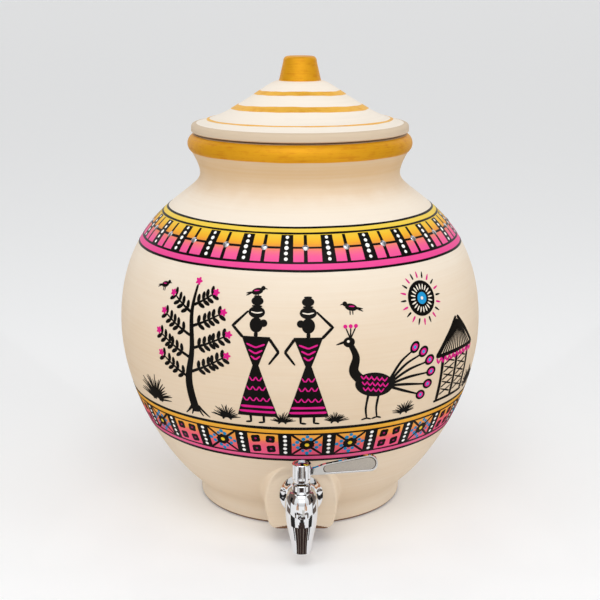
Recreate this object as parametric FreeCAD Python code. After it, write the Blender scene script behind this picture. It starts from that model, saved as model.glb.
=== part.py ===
"""Clay water pot with a lift-off lid and a quarter-turn lever tap.

Sizes are millimetres. The origin is the centre of the flat base, +Z runs up the axis
of the pot, and the tap stands out of the wall along -Y. Each section of a turned piece
is drawn as (radius, height) and spun about the pot, the shank or the stem.
"""
import FreeCAD, Part
import math
import os

# ---------------------------------------------------------------- pot
BELLY_RADIUS = 150.0
BELLY_HEIGHT = 152.0
FOOT_RADIUS = 85.6
FOOT_HEIGHT = 15.0
FOOT_EDGE = 2.5              # rounding under the foot
FOOT_BLEND = 8.0             # clay smoothed each way from the corner of foot and flank
FLANK_ANGLE = 50.0           # degrees from upright where the wall leaves the foot
FLANK_LEAD = 42.0            # how far the wall keeps to that angle
BELLY_LEAD = 52.0            # how far below the belly the wall stays near upright
SHOULDER_LEAD = 95.0         # the same above the belly
NECK_LEAD = 18.0             # how far below the waist the neck stays upright
NECK_RADIUS = 82.0
NECK_HEIGHT = 275.5          # height of the waist of the neck
RIM_HEIGHT = 308.0           # top face of the rim
RIM_RADIUS = 92.6
RIM_BEAD = 8.0               # section radius of the rolled rim
RIM_FLARE_ANGLE = 50.0       # degrees below level where the neck runs into the rim
NECK_FLARE_LEAD = 7.5        # how far above the waist the neck stays upright
WALL = 8.5
BASE_THICKNESS = 12.0
FLOOR_SWEEP = 15.0           # how far in the floor starts to turn up into the wall
MOUTH_EDGE = 2.0

# ---------------------------------------------------------------- pad that carries the tap
TAP_HEIGHT = 42.5            # shank axis above the base
PAD_PROUD = 0.25             # flat face of the pad past the wall beside the flange's top
PAD_BOTTOM_WIDTH = 48.0
PAD_CHEEK_WIDTH = 60.0       # between the poles that swell its sides low down
PAD_SHOULDER_WIDTH = 74.0    # between the poles that turn its sides in over the top
PAD_DROP = 30.0              # foot of the pad below the shank axis
PAD_RISE = 29.5              # top of the pad above the shank axis
PAD_BITE = 7.6               # how far in behind the foot's edge the pad starts
PAD_CHEEK_DROP = 14.5        # those poles below the shank axis
PAD_SHOULDER_RISE = 19.5     # the upper poles above it
PAD_ROUND = 6.0
PAD_BLEND = 6.0              # clay smoothed in where the pad meets the wall
SEAT_WALL = 23.5             # clay between the pad's face and the flat seat inside
SEAT_RADIUS = 18.0
SEAT_CLEAR_DEPTH = 30.0      # reach of the flattening tool into the pot
HOLE_CLEARANCE = 1.0

# ---------------------------------------------------------------- lid
LID_RADIUS = 88.7
LID_SIDE = 5.0               # upright part of the edge
LID_EDGE_INSET = 4.2         # where the rounded edge ends, in from the side
LID_EDGE_RISE = 8.2
DOME_FOOT_RADIUS = 64.5      # where the brim turns up into the dome
DOME_FOOT_RISE = 14.4
DOME_BLEND = 7.0
KNOB_RISE = 41.8             # foot of the knob above the rim
KNOB_BASE_RADIUS = 16.9
KNOB_TOP_RADIUS = 13.5
KNOB_HEIGHT = 19.2
KNOB_ROUND = 3.6
LID_WALL = 8.0
SPIGOT_CLEARANCE = 1.5       # round the ring that drops into the mouth
SPIGOT_DEPTH = 10.0
SPIGOT_WALL = 8.0
SPIGOT_EDGE = 1.5

# ---------------------------------------------------------------- tap, fixed pieces
SHANK_RADIUS = 8.0
SHANK_BORE = 4.5
SHANK_TAIL = 4.0             # shank left bare beyond the nut
THREAD_CLEARANCE = 0.05
WASHER_CLEARANCE = 0.3
OUTER_SEAL_RADIUS = 14.0
OUTER_SEAL_THICKNESS = 2.0
INNER_SEAL_RADIUS = 14.5
INNER_SEAL_THICKNESS = 3.0
BACKING_RADIUS = 15.0
BACKING_THICKNESS = 1.5
NUT_FLATS = 24.0
NUT_THICKNESS = 7.0
NUT_CHAMFER = 1.0
FLANGE_RADIUS = 16.7
FLANGE_LIFT = 0.4            # flange rim off the clay
FLANGE_EDGE = 1.2
FLANGE_HUB_RADIUS = 9.9
FLANGE_HEIGHT = 5.8
FLANGE_SKIRT = 2.0           # width of the rim beyond the hidden seal
BARREL_RADIUS = 8.8
COLLAR_RADIUS = 9.9
COLLAR_LENGTH = 2.0

STEM_REACH = 28.5            # stem axis out from the pad face
BODY_RISE = 15.7             # top of the cast body above the shank axis
BODY_DROP = 31.5             # spout tip below the shank axis
BULB_WIDTH = 24.7
BULB_DEPTH = 27.2
SPOUT_DIAMETER = 14.4
SPOUT_LEAN = 5.2             # spout tip out from the stem axis
SPOUT_BORE = 4.8
SPOUT_BORE_DEPTH = 17.0
BODY_EDGE = 1.2
# How the cast body swells: share of its height from the top, share of the way from
# spout to bulb, and share of the spout's lean.
BODY_FORM = (
    (0.00, 0.31, 0.00),
    (0.07, 0.74, 0.04),
    (0.21, 0.97, 0.10),
    (0.36, 1.00, 0.19),
    (0.52, 0.84, 0.42),
    (0.69, 0.49, 0.69),
    (0.86, 0.13, 0.92),
    (1.00, 0.00, 1.00),
)

# ---------------------------------------------------------------- tap, valve
RUNNING_CLEARANCE = 0.05     # radial, between the plug and what it turns in
END_PLAY = 0.1               # axial
PLUG_RADIUS = 4.8
PLUG_TOP = 6.4               # top of the plug's barrel above the shank axis
PLUG_DROP = 7.0              # foot of the plug below the shank axis
PORT_RADIUS = 2.6
SHOULDER_RADIUS = 6.7
SHOULDER_THICKNESS = 2.3
SHOULDER_CLEARANCE = 0.2
THRUST_THICKNESS = 0.8
STEM_RADIUS = 3.5
O_RING_SECTION = 0.75        # section radius
O_RING_SPACING = 4.65        # above and below the shank axis
O_RING_FIT = 0.02
GROOVE_WIDTH = 1.6
STOP_PIN_RADIUS = 0.8
STOP_PIN_CIRCLE = 5.85
STOP_PIN_DEPTH = 3.0         # pressed into the ledge
STOP_PIN_ANGLE = 180.0       # degrees from +X
STOP_CLEARANCE = 0.1
LEVER_TURN = 90.0            # degrees between shut and open
SEAT_LENGTH = 9.0            # length of the soft seat behind the plug
GLAND_RADIUS = 7.1
GLAND_HEIGHT = 5.2
GLAND_EDGE = 0.5

# ---------------------------------------------------------------- tap, handle
HUB_GAP = 1.6                # open groove between the gland ring and the hub
HUB_RADIUS = 7.1
HUB_HEIGHT = 14.7
HUB_TAPER = 3.0              # height of the cone under the hub
HUB_FOOT_RADIUS = 6.0
HUB_EDGE = 0.4
SQUARE_SIDE = 4.9
SQUARE_CLEARANCE = 0.05
SQUARE_LENGTH = 8.4
SQUARE_START = 0.5           # square begins this far under the hub
WEB_THICKNESS = 1.5
SCREW_RADIUS = 1.45
SCREW_CLEARANCE = 0.05
SCREW_LENGTH = 9.0
SCREW_HEAD_RADIUS = 2.75
SCREW_HEAD_HEIGHT = 1.8
SCREW_SOCKET = 1.5           # corners of the hexagon socket from the screw's axis
SCREW_SOCKET_DEPTH = 1.0
SPRING_WASHER_RADIUS = 3.2
SPRING_WASHER_THICKNESS = 0.6
RECESS_RADIUS = 4.6
CAP_RADIUS = 5.4
CAP_CLEARANCE = 0.05
CAP_THICKNESS = 1.0
CAP_CROWN = 0.5
CAP_SINK = 2.0               # hub rim above the ledge that the cap sits on
BLADE_THICKNESS = 3.0
BLADE_ROOT = 4.9             # blade height at the hub
BLADE_ROOT_RISE = 7.9        # middle of the root above the hub's foot
BLADE_WAIST_REACH = 19.0     # where the narrow neck of the blade becomes the paddle
BLADE_WAIST = 8.2
BLADE_WAIST_RISE = 10.3
BLADE_TIP_REACH = 50.3       # centre of the rounded tip from the stem axis
BLADE_TIP_RADIUS = 6.3
BLADE_TIP_RISE = 14.8
PANEL_BORDER = 1.0
PANEL_DEPTH = 0.4

# ---------------------------------------------------------------- directions and counts
UP = FreeCAD.Vector(0, 0, 1)
BACK = FreeCAD.Vector(0, 1, 0)
FULL_TURN = 360.0
OVAL_POINTS = 12
HEXAGON_SIDES = 6
TOUCHING = 0.01              # two places closer than this are the same place


# ---------------------------------------------------------------- drawing helpers
def spot(radius, height):
    """A point of a turned section, in the plane that holds the spinning axis."""
    return FreeCAD.Vector(radius, 0, height)


def line(start, end):
    return Part.makeLine(start, end)


def curve(*poles):
    """Bezier curve with the given poles."""
    bezier = Part.BezierCurve()
    bezier.setPoles(list(poles))
    return bezier.toShape()


def arc(centre, radius, start_angle, end_angle):
    """Arc in the section plane, angles in degrees from +X towards +Z."""
    def at(angle):
        turn = math.radians(angle)
        return centre + FreeCAD.Vector(radius * math.cos(turn), 0, radius * math.sin(turn))
    middle = (start_angle + end_angle) / 2
    return Part.Arc(at(start_angle), at(middle), at(end_angle)).toShape()


def spin(edges):
    """Close a section drawn at the pot's axis and spin it about +Z."""
    face = Part.Face(Part.Wire(Part.__sortEdges__(edges)))
    return face.revolve(FreeCAD.Vector(0, 0, 0), UP, FULL_TURN)


def outline(points):
    """Straight edges through the points and back to the first."""
    ends = points[1:] + points[:1]
    return [line(start, end) for start, end in zip(points, ends)]


def inset(poles, distance):
    """Poles of the curve that runs at the distance inside, each leg moved square to itself."""
    legs = []
    for start, end in zip(poles, poles[1:]):
        along = end - start
        along.normalize()
        inward = FreeCAD.Vector(-along.z, 0, along.x)
        legs.append((start + inward * distance, along, end + inward * distance))
    moved = [legs[0][0]]
    for first, second in zip(legs, legs[1:]):
        across = first[1].x * second[1].z - first[1].z * second[1].x
        gap = second[0] - first[0]
        reach = (gap.x * second[1].z - gap.z * second[1].x) / across
        moved.append(first[0] + first[1] * reach)
    moved.append(legs[-1][2])
    return moved


def up_flank(distance):
    """Point on the straight line that the flank leaves the foot by."""
    turn = math.radians(FLANK_ANGLE)
    return spot(FOOT_RADIUS + distance * math.sin(turn), FOOT_HEIGHT + distance * math.cos(turn))


def flank_poles():
    return [
        up_flank(FOOT_BLEND),
        up_flank(FLANK_LEAD),
        spot(BELLY_RADIUS, BELLY_HEIGHT - BELLY_LEAD),
        spot(BELLY_RADIUS, BELLY_HEIGHT),
    ]


def wall_radius(height):
    """Outer radius of the pot at a height between the foot and the belly."""
    reach = line(spot(0, height), spot(2 * BELLY_RADIUS, height))
    nearest = curve(*flank_poles()).distToShape(reach)[1][0]
    return nearest[0].x


# ---------------------------------------------------------------- worked out
mouth_radius = NECK_RADIUS - WALL
pad_face = wall_radius(TAP_HEIGHT + FLANGE_RADIUS) + PAD_PROUD
seat_face = pad_face - SEAT_WALL
pad_foot = TAP_HEIGHT - PAD_DROP
pad_top = TAP_HEIGHT + PAD_RISE
stem_y = -(pad_face + STEM_REACH)
body_top = TAP_HEIGHT + BODY_RISE
body_tip = TAP_HEIGHT - BODY_DROP
ledge_height = TAP_HEIGHT + PLUG_TOP
plug_foot = TAP_HEIGHT - PLUG_DROP
shoulder_foot = ledge_height + END_PLAY
shoulder_top = shoulder_foot + SHOULDER_THICKNESS
gland_foot = shoulder_top + THRUST_THICKNESS + END_PLAY
gland_top = body_top + GLAND_HEIGHT
hub_foot = gland_top + HUB_GAP
hub_top = hub_foot + HUB_HEIGHT
square_foot = hub_foot - SQUARE_START
square_top = square_foot + SQUARE_LENGTH + SQUARE_START
web_foot = square_top + END_PLAY
web_top = web_foot + WEB_THICKNESS
cap_ledge = hub_top - CAP_SINK
counterbore_radius = SHOULDER_RADIUS + SHOULDER_CLEARANCE
shank_end = -(seat_face - INNER_SEAL_THICKNESS - BACKING_THICKNESS - NUT_THICKNESS - SHANK_TAIL)


# ---------------------------------------------------------------- bars and rings on the axes
def upright_bar(radius, foot, top):
    """Cylinder on the stem's axis."""
    return Part.makeCylinder(radius, top - foot, FreeCAD.Vector(0, stem_y, foot), UP)


def level_bar(radius, front, back):
    """Cylinder on the shank's axis, from front to back in Y."""
    return Part.makeCylinder(radius, back - front, FreeCAD.Vector(0, front, TAP_HEIGHT), BACK)


def level_ring(outer, inner, front, back):
    return level_bar(outer, front, back).cut(level_bar(inner, front, back))


def upright_ring(outer, inner, foot, top):
    return upright_bar(outer, foot, top).cut(upright_bar(inner, foot, top))


def to_shank(shape):
    """Stand a piece spun about +Z on the pad face, with its +Z pointing out of the pot."""
    shape.rotate(FreeCAD.Vector(0, 0, 0), FreeCAD.Vector(1, 0, 0), 90)
    shape.translate(FreeCAD.Vector(0, -pad_face, TAP_HEIGHT))
    return shape


def to_stem(shape):
    """Move a piece spun about the pot's axis onto the stem's axis."""
    shape.translate(FreeCAD.Vector(0, stem_y, 0))
    return shape


def hexagon_bar(corner, length):
    """Upright hexagonal bar that stands on the origin, its corners this far from the axis."""
    points = []
    for side in range(HEXAGON_SIDES):
        turn = 2 * math.pi * side / HEXAGON_SIDES
        points.append(FreeCAD.Vector(corner * math.cos(turn), corner * math.sin(turn), 0))
    return Part.Face(Part.Wire(outline(points))).extrude(UP * length)


def circles_at(shape, radius, height):
    """Round edges of a turned piece with the given radius and height."""
    found = []
    for edge in shape.Edges:
        box = edge.BoundBox
        level = box.ZLength < TOUCHING and abs(box.ZMin - height) < TOUCHING
        if level and abs(box.XLength / 2 - radius) < TOUCHING:
            found.append(edge)
    return found


# ---------------------------------------------------------------- pot
def shoulder_poles():
    return [
        spot(BELLY_RADIUS, BELLY_HEIGHT),
        spot(BELLY_RADIUS, BELLY_HEIGHT + SHOULDER_LEAD),
        spot(NECK_RADIUS, NECK_HEIGHT - NECK_LEAD),
        spot(NECK_RADIUS, NECK_HEIGHT),
    ]


def outer_edges():
    """Outside of the pot from the middle of the base to the top of the rim."""
    bead_centre = spot(RIM_RADIUS - RIM_BEAD, RIM_HEIGHT - RIM_BEAD)
    rim = arc(bead_centre, RIM_BEAD, -RIM_FLARE_ANGLE, 90)
    waist = spot(NECK_RADIUS, NECK_HEIGHT)
    flare_end = rim.Vertexes[0].Point
    foot_turn = spot(FOOT_RADIUS - FOOT_EDGE, FOOT_EDGE)
    foot_top = spot(FOOT_RADIUS, FOOT_HEIGHT - FOOT_BLEND)
    return [
        line(spot(0, 0), spot(FOOT_RADIUS - FOOT_EDGE, 0)),
        arc(foot_turn, FOOT_EDGE, -90, 0),
        line(spot(FOOT_RADIUS, FOOT_EDGE), foot_top),
        curve(foot_top, spot(FOOT_RADIUS, FOOT_HEIGHT), up_flank(FOOT_BLEND)),
        curve(*flank_poles()),
        curve(*shoulder_poles()),
        curve(waist, spot(NECK_RADIUS, NECK_HEIGHT + NECK_FLARE_LEAD), flare_end),
        rim,
    ]


def cavity():
    """Inside of the pot as a solid, run out through the mouth."""
    flank = inset(flank_poles(), WALL)
    shoulder = inset(shoulder_poles(), WALL)
    slope = flank[1] - flank[0]
    floor_reach = (flank[0].z - BASE_THICKNESS) / slope.z
    floor_turn = flank[0] - slope * floor_reach
    floor_start = spot(floor_turn.x - FLOOR_SWEEP, BASE_THICKNESS)
    top = spot(mouth_radius, RIM_HEIGHT)
    return spin([
        line(spot(0, BASE_THICKNESS), floor_start),
        curve(floor_start, floor_turn, flank[0]),
        curve(*flank),
        curve(*shoulder),
        line(shoulder[-1], top),
        line(top, spot(0, RIM_HEIGHT)),
        line(spot(0, RIM_HEIGHT), spot(0, BASE_THICKNESS)),
    ])


def pad_side(hand):
    """One side of the pad's outline, from its foot out over the cheek and in to the middle of its top."""
    widths = (PAD_BOTTOM_WIDTH, PAD_CHEEK_WIDTH, PAD_SHOULDER_WIDTH, 0)
    heights = (pad_foot, TAP_HEIGHT - PAD_CHEEK_DROP, TAP_HEIGHT + PAD_SHOULDER_RISE, pad_top)
    return curve(*[
        FreeCAD.Vector(hand * width / 2, -pad_face, height) for width, height in zip(widths, heights)])


def tap_pad():
    """Clay pad with a flat upright face under an arched top, run back into the wall."""
    half_bottom = PAD_BOTTOM_WIDTH / 2
    corners = [FreeCAD.Vector(hand * half_bottom, -pad_face, pad_foot) for hand in (-1, 1)]
    edges = [pad_side(-1), line(*corners), pad_side(1)]
    pad_back = PAD_BITE - FOOT_RADIUS
    block = Part.Face(Part.Wire(Part.__sortEdges__(edges))).extrude(BACK * (pad_face + pad_back))
    rounded = [edge for edge in block.Edges if edge.BoundBox.YMin < pad_back - TOUCHING]
    return block.makeFillet(PAD_ROUND, rounded)


def blended(wall, pad):
    """Pad joined to the wall, with the corner between them smoothed above the foot."""
    joined = wall.fuse(pad)
    seam = []
    for edge in joined.Edges:
        if edge.Degenerated:
            continue
        middle = edge.valueAt((edge.FirstParameter + edge.LastParameter) / 2)
        place = Part.Vertex(middle)
        on_wall = wall.Shells[0].distToShape(place)[0] < TOUCHING
        on_pad = pad.Shells[0].distToShape(place)[0] < TOUCHING
        if on_wall and on_pad and middle.z > FOOT_HEIGHT + TOUCHING:
            seam.append(edge)
    return joined.makeFillet(PAD_BLEND, seam)


def pot_body():
    edges = outer_edges()
    rim_top = spot(RIM_RADIUS - RIM_BEAD, RIM_HEIGHT)
    edges.append(line(rim_top, spot(0, RIM_HEIGHT)))
    edges.append(line(spot(0, RIM_HEIGHT), spot(0, 0)))
    inner_pad = level_bar(SEAT_RADIUS, -pad_face + PAD_ROUND, -seat_face)
    pot = blended(spin(edges), tap_pad()).cut(cavity()).fuse(inner_pad)
    pot = pot.cut(level_bar(SEAT_RADIUS, -seat_face, -seat_face + SEAT_CLEAR_DEPTH))
    pot = pot.cut(level_bar(SHANK_RADIUS + HOLE_CLEARANCE, -pad_face, -seat_face))
    return pot.makeFillet(MOUTH_EDGE, circles_at(pot, mouth_radius, RIM_HEIGHT))


# ---------------------------------------------------------------- lid
def lid():
    """Domed clay lid with its knob, a ring below to locate it, and an open underside."""
    dome_foot = spot(DOME_FOOT_RADIUS, RIM_HEIGHT + DOME_FOOT_RISE)
    dome_top = spot(KNOB_BASE_RADIUS, RIM_HEIGHT + KNOB_RISE)
    side_foot = spot(LID_RADIUS, RIM_HEIGHT)
    side_top = spot(LID_RADIUS, RIM_HEIGHT + LID_SIDE)
    edge_end = spot(LID_RADIUS - LID_EDGE_INSET, RIM_HEIGHT + LID_EDGE_RISE)
    up_dome = (dome_top - dome_foot).normalize()
    along_brim = (edge_end - dome_foot).normalize()
    brim_end = dome_foot + along_brim * DOME_BLEND
    dome_start = dome_foot + up_dome * DOME_BLEND
    knob_top = RIM_HEIGHT + KNOB_RISE + KNOB_HEIGHT
    knob_side = spot(KNOB_TOP_RADIUS, knob_top - KNOB_ROUND)

    spigot = mouth_radius - SPIGOT_CLEARANCE
    spigot_foot = RIM_HEIGHT - SPIGOT_DEPTH
    hollow = spigot - SPIGOT_WALL
    roof = inset([dome_top, dome_foot], -LID_WALL)
    slope = (roof[1].z - roof[0].z) / (roof[1].x - roof[0].x)
    ceiling = spot(0, roof[0].z)
    roof_edge = spot(hollow, roof[0].z + slope * (hollow - roof[0].x))
    roof_start = roof_edge + up_dome * DOME_BLEND
    hollow_top = spot(hollow, roof_edge.z - DOME_BLEND)
    return spin([
        line(side_foot, side_top),
        curve(side_top, spot(LID_RADIUS, RIM_HEIGHT + LID_EDGE_RISE), edge_end),
        line(edge_end, brim_end),
        curve(brim_end, dome_foot, dome_start),
        line(dome_start, dome_top),
        line(dome_top, knob_side),
        curve(knob_side, spot(KNOB_TOP_RADIUS, knob_top), spot(KNOB_TOP_RADIUS - KNOB_ROUND, knob_top)),
        line(spot(KNOB_TOP_RADIUS - KNOB_ROUND, knob_top), spot(0, knob_top)),
        line(spot(0, knob_top), ceiling),
        line(ceiling, roof[0]),
        line(roof[0], roof_start),
        curve(roof_start, roof_edge, hollow_top),
        line(hollow_top, spot(hollow, spigot_foot + SPIGOT_EDGE)),
        line(spot(hollow, spigot_foot + SPIGOT_EDGE), spot(hollow + SPIGOT_EDGE, spigot_foot)),
        line(spot(hollow + SPIGOT_EDGE, spigot_foot), spot(spigot - SPIGOT_EDGE, spigot_foot)),
        line(spot(spigot - SPIGOT_EDGE, spigot_foot), spot(spigot, spigot_foot + SPIGOT_EDGE)),
        line(spot(spigot, spigot_foot + SPIGOT_EDGE), spot(spigot, RIM_HEIGHT)),
        line(spot(spigot, RIM_HEIGHT), side_foot),
    ])


# ---------------------------------------------------------------- tap, outside the wall
def wall_flange():
    """Dished flange that hides the outer seal and carries the tap's collar."""
    inner = SHANK_RADIUS + WASHER_CLEARANCE
    seal_edge = FLANGE_RADIUS - FLANGE_SKIRT
    rim_top = FLANGE_LIFT + FLANGE_EDGE
    hub_foot_spot = spot(FLANGE_HUB_RADIUS, FLANGE_HEIGHT)
    dish_turn = spot((FLANGE_RADIUS + FLANGE_HUB_RADIUS) / 2, rim_top + FLANGE_EDGE)
    hub_turn = spot(FLANGE_HUB_RADIUS, rim_top + FLANGE_EDGE)
    return to_shank(spin([
        line(spot(inner, OUTER_SEAL_THICKNESS), spot(seal_edge, OUTER_SEAL_THICKNESS)),
        line(spot(seal_edge, OUTER_SEAL_THICKNESS), spot(seal_edge, FLANGE_LIFT)),
        line(spot(seal_edge, FLANGE_LIFT), spot(FLANGE_RADIUS, FLANGE_LIFT)),
        line(spot(FLANGE_RADIUS, FLANGE_LIFT), spot(FLANGE_RADIUS, rim_top)),
        curve(spot(FLANGE_RADIUS, rim_top), dish_turn, hub_turn, hub_foot_spot),
        line(hub_foot_spot, spot(inner, FLANGE_HEIGHT)),
        line(spot(inner, FLANGE_HEIGHT), spot(inner, OUTER_SEAL_THICKNESS)),
    ]))


def oval(half_width, half_depth, y, z):
    """Level closed curve through points of an ellipse, spaced evenly round it."""
    points = []
    for step in range(OVAL_POINTS):
        turn = 2 * math.pi * step / OVAL_POINTS
        points.append(FreeCAD.Vector(half_width * math.cos(turn), y + half_depth * math.sin(turn), z))
    ring = Part.BSplineCurve()
    ring.interpolate(Points=points, PeriodicFlag=True)
    return Part.Wire(ring.toShape())


def cast_form():
    """Bulb and spout lofted through level ovals, with the top and tip rounded."""
    spout = SPOUT_DIAMETER / 2
    ovals = []
    for down, swell, lean in BODY_FORM:
        half_width = spout + swell * (BULB_WIDTH / 2 - spout)
        half_depth = spout + swell * (BULB_DEPTH / 2 - spout)
        height = body_top - down * (body_top - body_tip)
        ovals.append(oval(half_width, half_depth, stem_y - lean * SPOUT_LEAN, height))
    form = Part.makeLoft(ovals, True, False)
    flat = [edge for edge in form.Edges if edge.BoundBox.ZLength < TOUCHING]
    return form.makeFillet(BODY_EDGE, flat)


def tap_body():
    """One casting: threaded shank, collar, barrel, bulb and spout, bored for the valve."""
    collar_back = -(pad_face + FLANGE_HEIGHT)
    body = level_bar(SHANK_RADIUS, collar_back, shank_end)
    body = body.fuse(level_bar(COLLAR_RADIUS, collar_back - COLLAR_LENGTH, collar_back))
    body = body.fuse(level_bar(BARREL_RADIUS, stem_y, collar_back))
    body = body.fuse(cast_form())

    chamber = upright_bar(PLUG_RADIUS + RUNNING_CLEARANCE, plug_foot - END_PLAY, ledge_height)
    counterbore = upright_bar(counterbore_radius, ledge_height, body_top)
    waterway = level_bar(SHANK_BORE, stem_y, shank_end)
    tip_centre = FreeCAD.Vector(0, stem_y - SPOUT_LEAN, body_tip)
    outlet = Part.makeCylinder(SPOUT_BORE, SPOUT_BORE_DEPTH, tip_centre, UP)
    drop_start = FreeCAD.Vector(0, stem_y, plug_foot)
    drop_run = tip_centre + UP * SPOUT_BORE_DEPTH - drop_start
    drop = Part.makeCylinder(PORT_RADIUS, drop_run.Length, drop_start, drop_run)
    pin_hole = stop_pin()
    for tool in (chamber, counterbore, waterway, outlet, drop, pin_hole):
        body = body.cut(tool)
    return body


def stop_pin():
    """Pin in the ledge that the notch of the plug's shoulder runs against."""
    turn = math.radians(STOP_PIN_ANGLE)
    foot = FreeCAD.Vector(
        STOP_PIN_CIRCLE * math.cos(turn),
        stem_y + STOP_PIN_CIRCLE * math.sin(turn),
        ledge_height - STOP_PIN_DEPTH,
    )
    height = STOP_PIN_DEPTH + END_PLAY + SHOULDER_THICKNESS - STOP_CLEARANCE
    return Part.makeCylinder(STOP_PIN_RADIUS, height, foot, UP)


def port_seat():
    """Soft seat in the shank bore, hollowed to the plug."""
    back = stem_y + SEAT_LENGTH + PORT_RADIUS
    seat = level_ring(SHANK_BORE, PORT_RADIUS, stem_y + PORT_RADIUS, back)
    return seat.cut(upright_bar(PLUG_RADIUS + RUNNING_CLEARANCE, plug_foot, ledge_height))


def gland_ring():
    """Ring screwed into the body over the plug, with its flange showing as a band."""
    thread = counterbore_radius - THREAD_CLEARANCE
    ring = upright_bar(thread, gland_foot, body_top).fuse(upright_bar(GLAND_RADIUS, body_top, gland_top))
    ring = ring.cut(upright_bar(STEM_RADIUS + RUNNING_CLEARANCE, gland_foot, gland_top))
    return ring.makeChamfer(GLAND_EDGE, circles_at(ring, GLAND_RADIUS, gland_top))


# ---------------------------------------------------------------- tap, inside the wall
def outer_seal_washer():
    inner = SHANK_RADIUS + WASHER_CLEARANCE
    return level_ring(OUTER_SEAL_RADIUS, inner, -pad_face - OUTER_SEAL_THICKNESS, -pad_face)


def inner_seal_washer():
    inner = SHANK_RADIUS + WASHER_CLEARANCE
    return level_ring(INNER_SEAL_RADIUS, inner, -seat_face, -seat_face + INNER_SEAL_THICKNESS)


def backing_washer():
    inner = SHANK_RADIUS + WASHER_CLEARANCE
    front = -seat_face + INNER_SEAL_THICKNESS
    return level_ring(BACKING_RADIUS, inner, front, front + BACKING_THICKNESS)


def lock_nut():
    """Hexagon nut with its outer corners turned off."""
    corner = NUT_FLATS / math.sqrt(3)
    cone_radius = corner + NUT_THICKNESS - NUT_CHAMFER
    cone = Part.makeCone(cone_radius, corner - NUT_CHAMFER, NUT_THICKNESS)
    nut = hexagon_bar(corner, NUT_THICKNESS).common(cone)
    front = -seat_face + INNER_SEAL_THICKNESS + BACKING_THICKNESS
    nut.rotate(FreeCAD.Vector(0, 0, 0), FreeCAD.Vector(1, 0, 0), -90)
    nut.translate(FreeCAD.Vector(0, front, TAP_HEIGHT))
    return nut.cut(level_bar(SHANK_RADIUS + THREAD_CLEARANCE, front, front + NUT_THICKNESS))


# ---------------------------------------------------------------- valve, turning pieces
def o_ring(height):
    centre_radius = PLUG_RADIUS - O_RING_SECTION
    return Part.makeTorus(centre_radius, O_RING_SECTION, FreeCAD.Vector(0, stem_y, height), UP)


def square_bar(side, foot, top):
    """Square bar on the stem's axis, its flats square to X and Y."""
    corner = FreeCAD.Vector(-side / 2, stem_y - side / 2, foot)
    return Part.makeBox(side, side, top - foot, corner)


def stop_notch():
    """Sector cut from the shoulder, the lever's turn wide and the pin wide at each end."""
    spare = math.degrees(math.asin((STOP_PIN_RADIUS + STOP_CLEARANCE) / STOP_PIN_CIRCLE))
    start = STOP_PIN_ANGLE - spare
    sector = Part.makeCylinder(
        SHOULDER_RADIUS + STOP_PIN_RADIUS, SHOULDER_THICKNESS,
        FreeCAD.Vector(0, 0, shoulder_foot), UP, LEVER_TURN + 2 * spare)
    sector.rotate(FreeCAD.Vector(0, 0, 0), UP, start)
    floor_radius = STOP_PIN_CIRCLE - STOP_PIN_RADIUS - STOP_CLEARANCE
    return to_stem(sector).cut(upright_bar(floor_radius, shoulder_foot, shoulder_top))


def valve_plug():
    """Plug, hollow from below, with a side port that faces -X when the tap is shut."""
    plug = upright_bar(PLUG_RADIUS, plug_foot, shoulder_foot)
    plug = plug.fuse(upright_bar(SHOULDER_RADIUS, shoulder_foot, shoulder_top))
    plug = plug.fuse(upright_bar(STEM_RADIUS, shoulder_top, square_foot))
    plug = plug.fuse(square_bar(SQUARE_SIDE, square_foot, square_top))
    plug = plug.cut(stop_notch())
    plug = plug.cut(upright_bar(PORT_RADIUS, plug_foot, TAP_HEIGHT + PORT_RADIUS))
    side_port = Part.makeCylinder(
        PORT_RADIUS, PLUG_RADIUS, FreeCAD.Vector(-PLUG_RADIUS, stem_y, TAP_HEIGHT), FreeCAD.Vector(1, 0, 0))
    plug = plug.cut(side_port)
    floor_radius = PLUG_RADIUS - 2 * O_RING_SECTION - O_RING_FIT
    for height in (TAP_HEIGHT - O_RING_SPACING, TAP_HEIGHT + O_RING_SPACING):
        foot = height - GROOVE_WIDTH / 2
        plug = plug.cut(upright_ring(SHOULDER_RADIUS, floor_radius, foot, foot + GROOVE_WIDTH))
    tapped = upright_bar(SCREW_RADIUS + SCREW_CLEARANCE, web_top - SCREW_LENGTH, square_top)
    return plug.cut(tapped)


def thrust_washer():
    inner = STEM_RADIUS + RUNNING_CLEARANCE
    return upright_ring(SHOULDER_RADIUS, inner, shoulder_top, shoulder_top + THRUST_THICKNESS)


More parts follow.
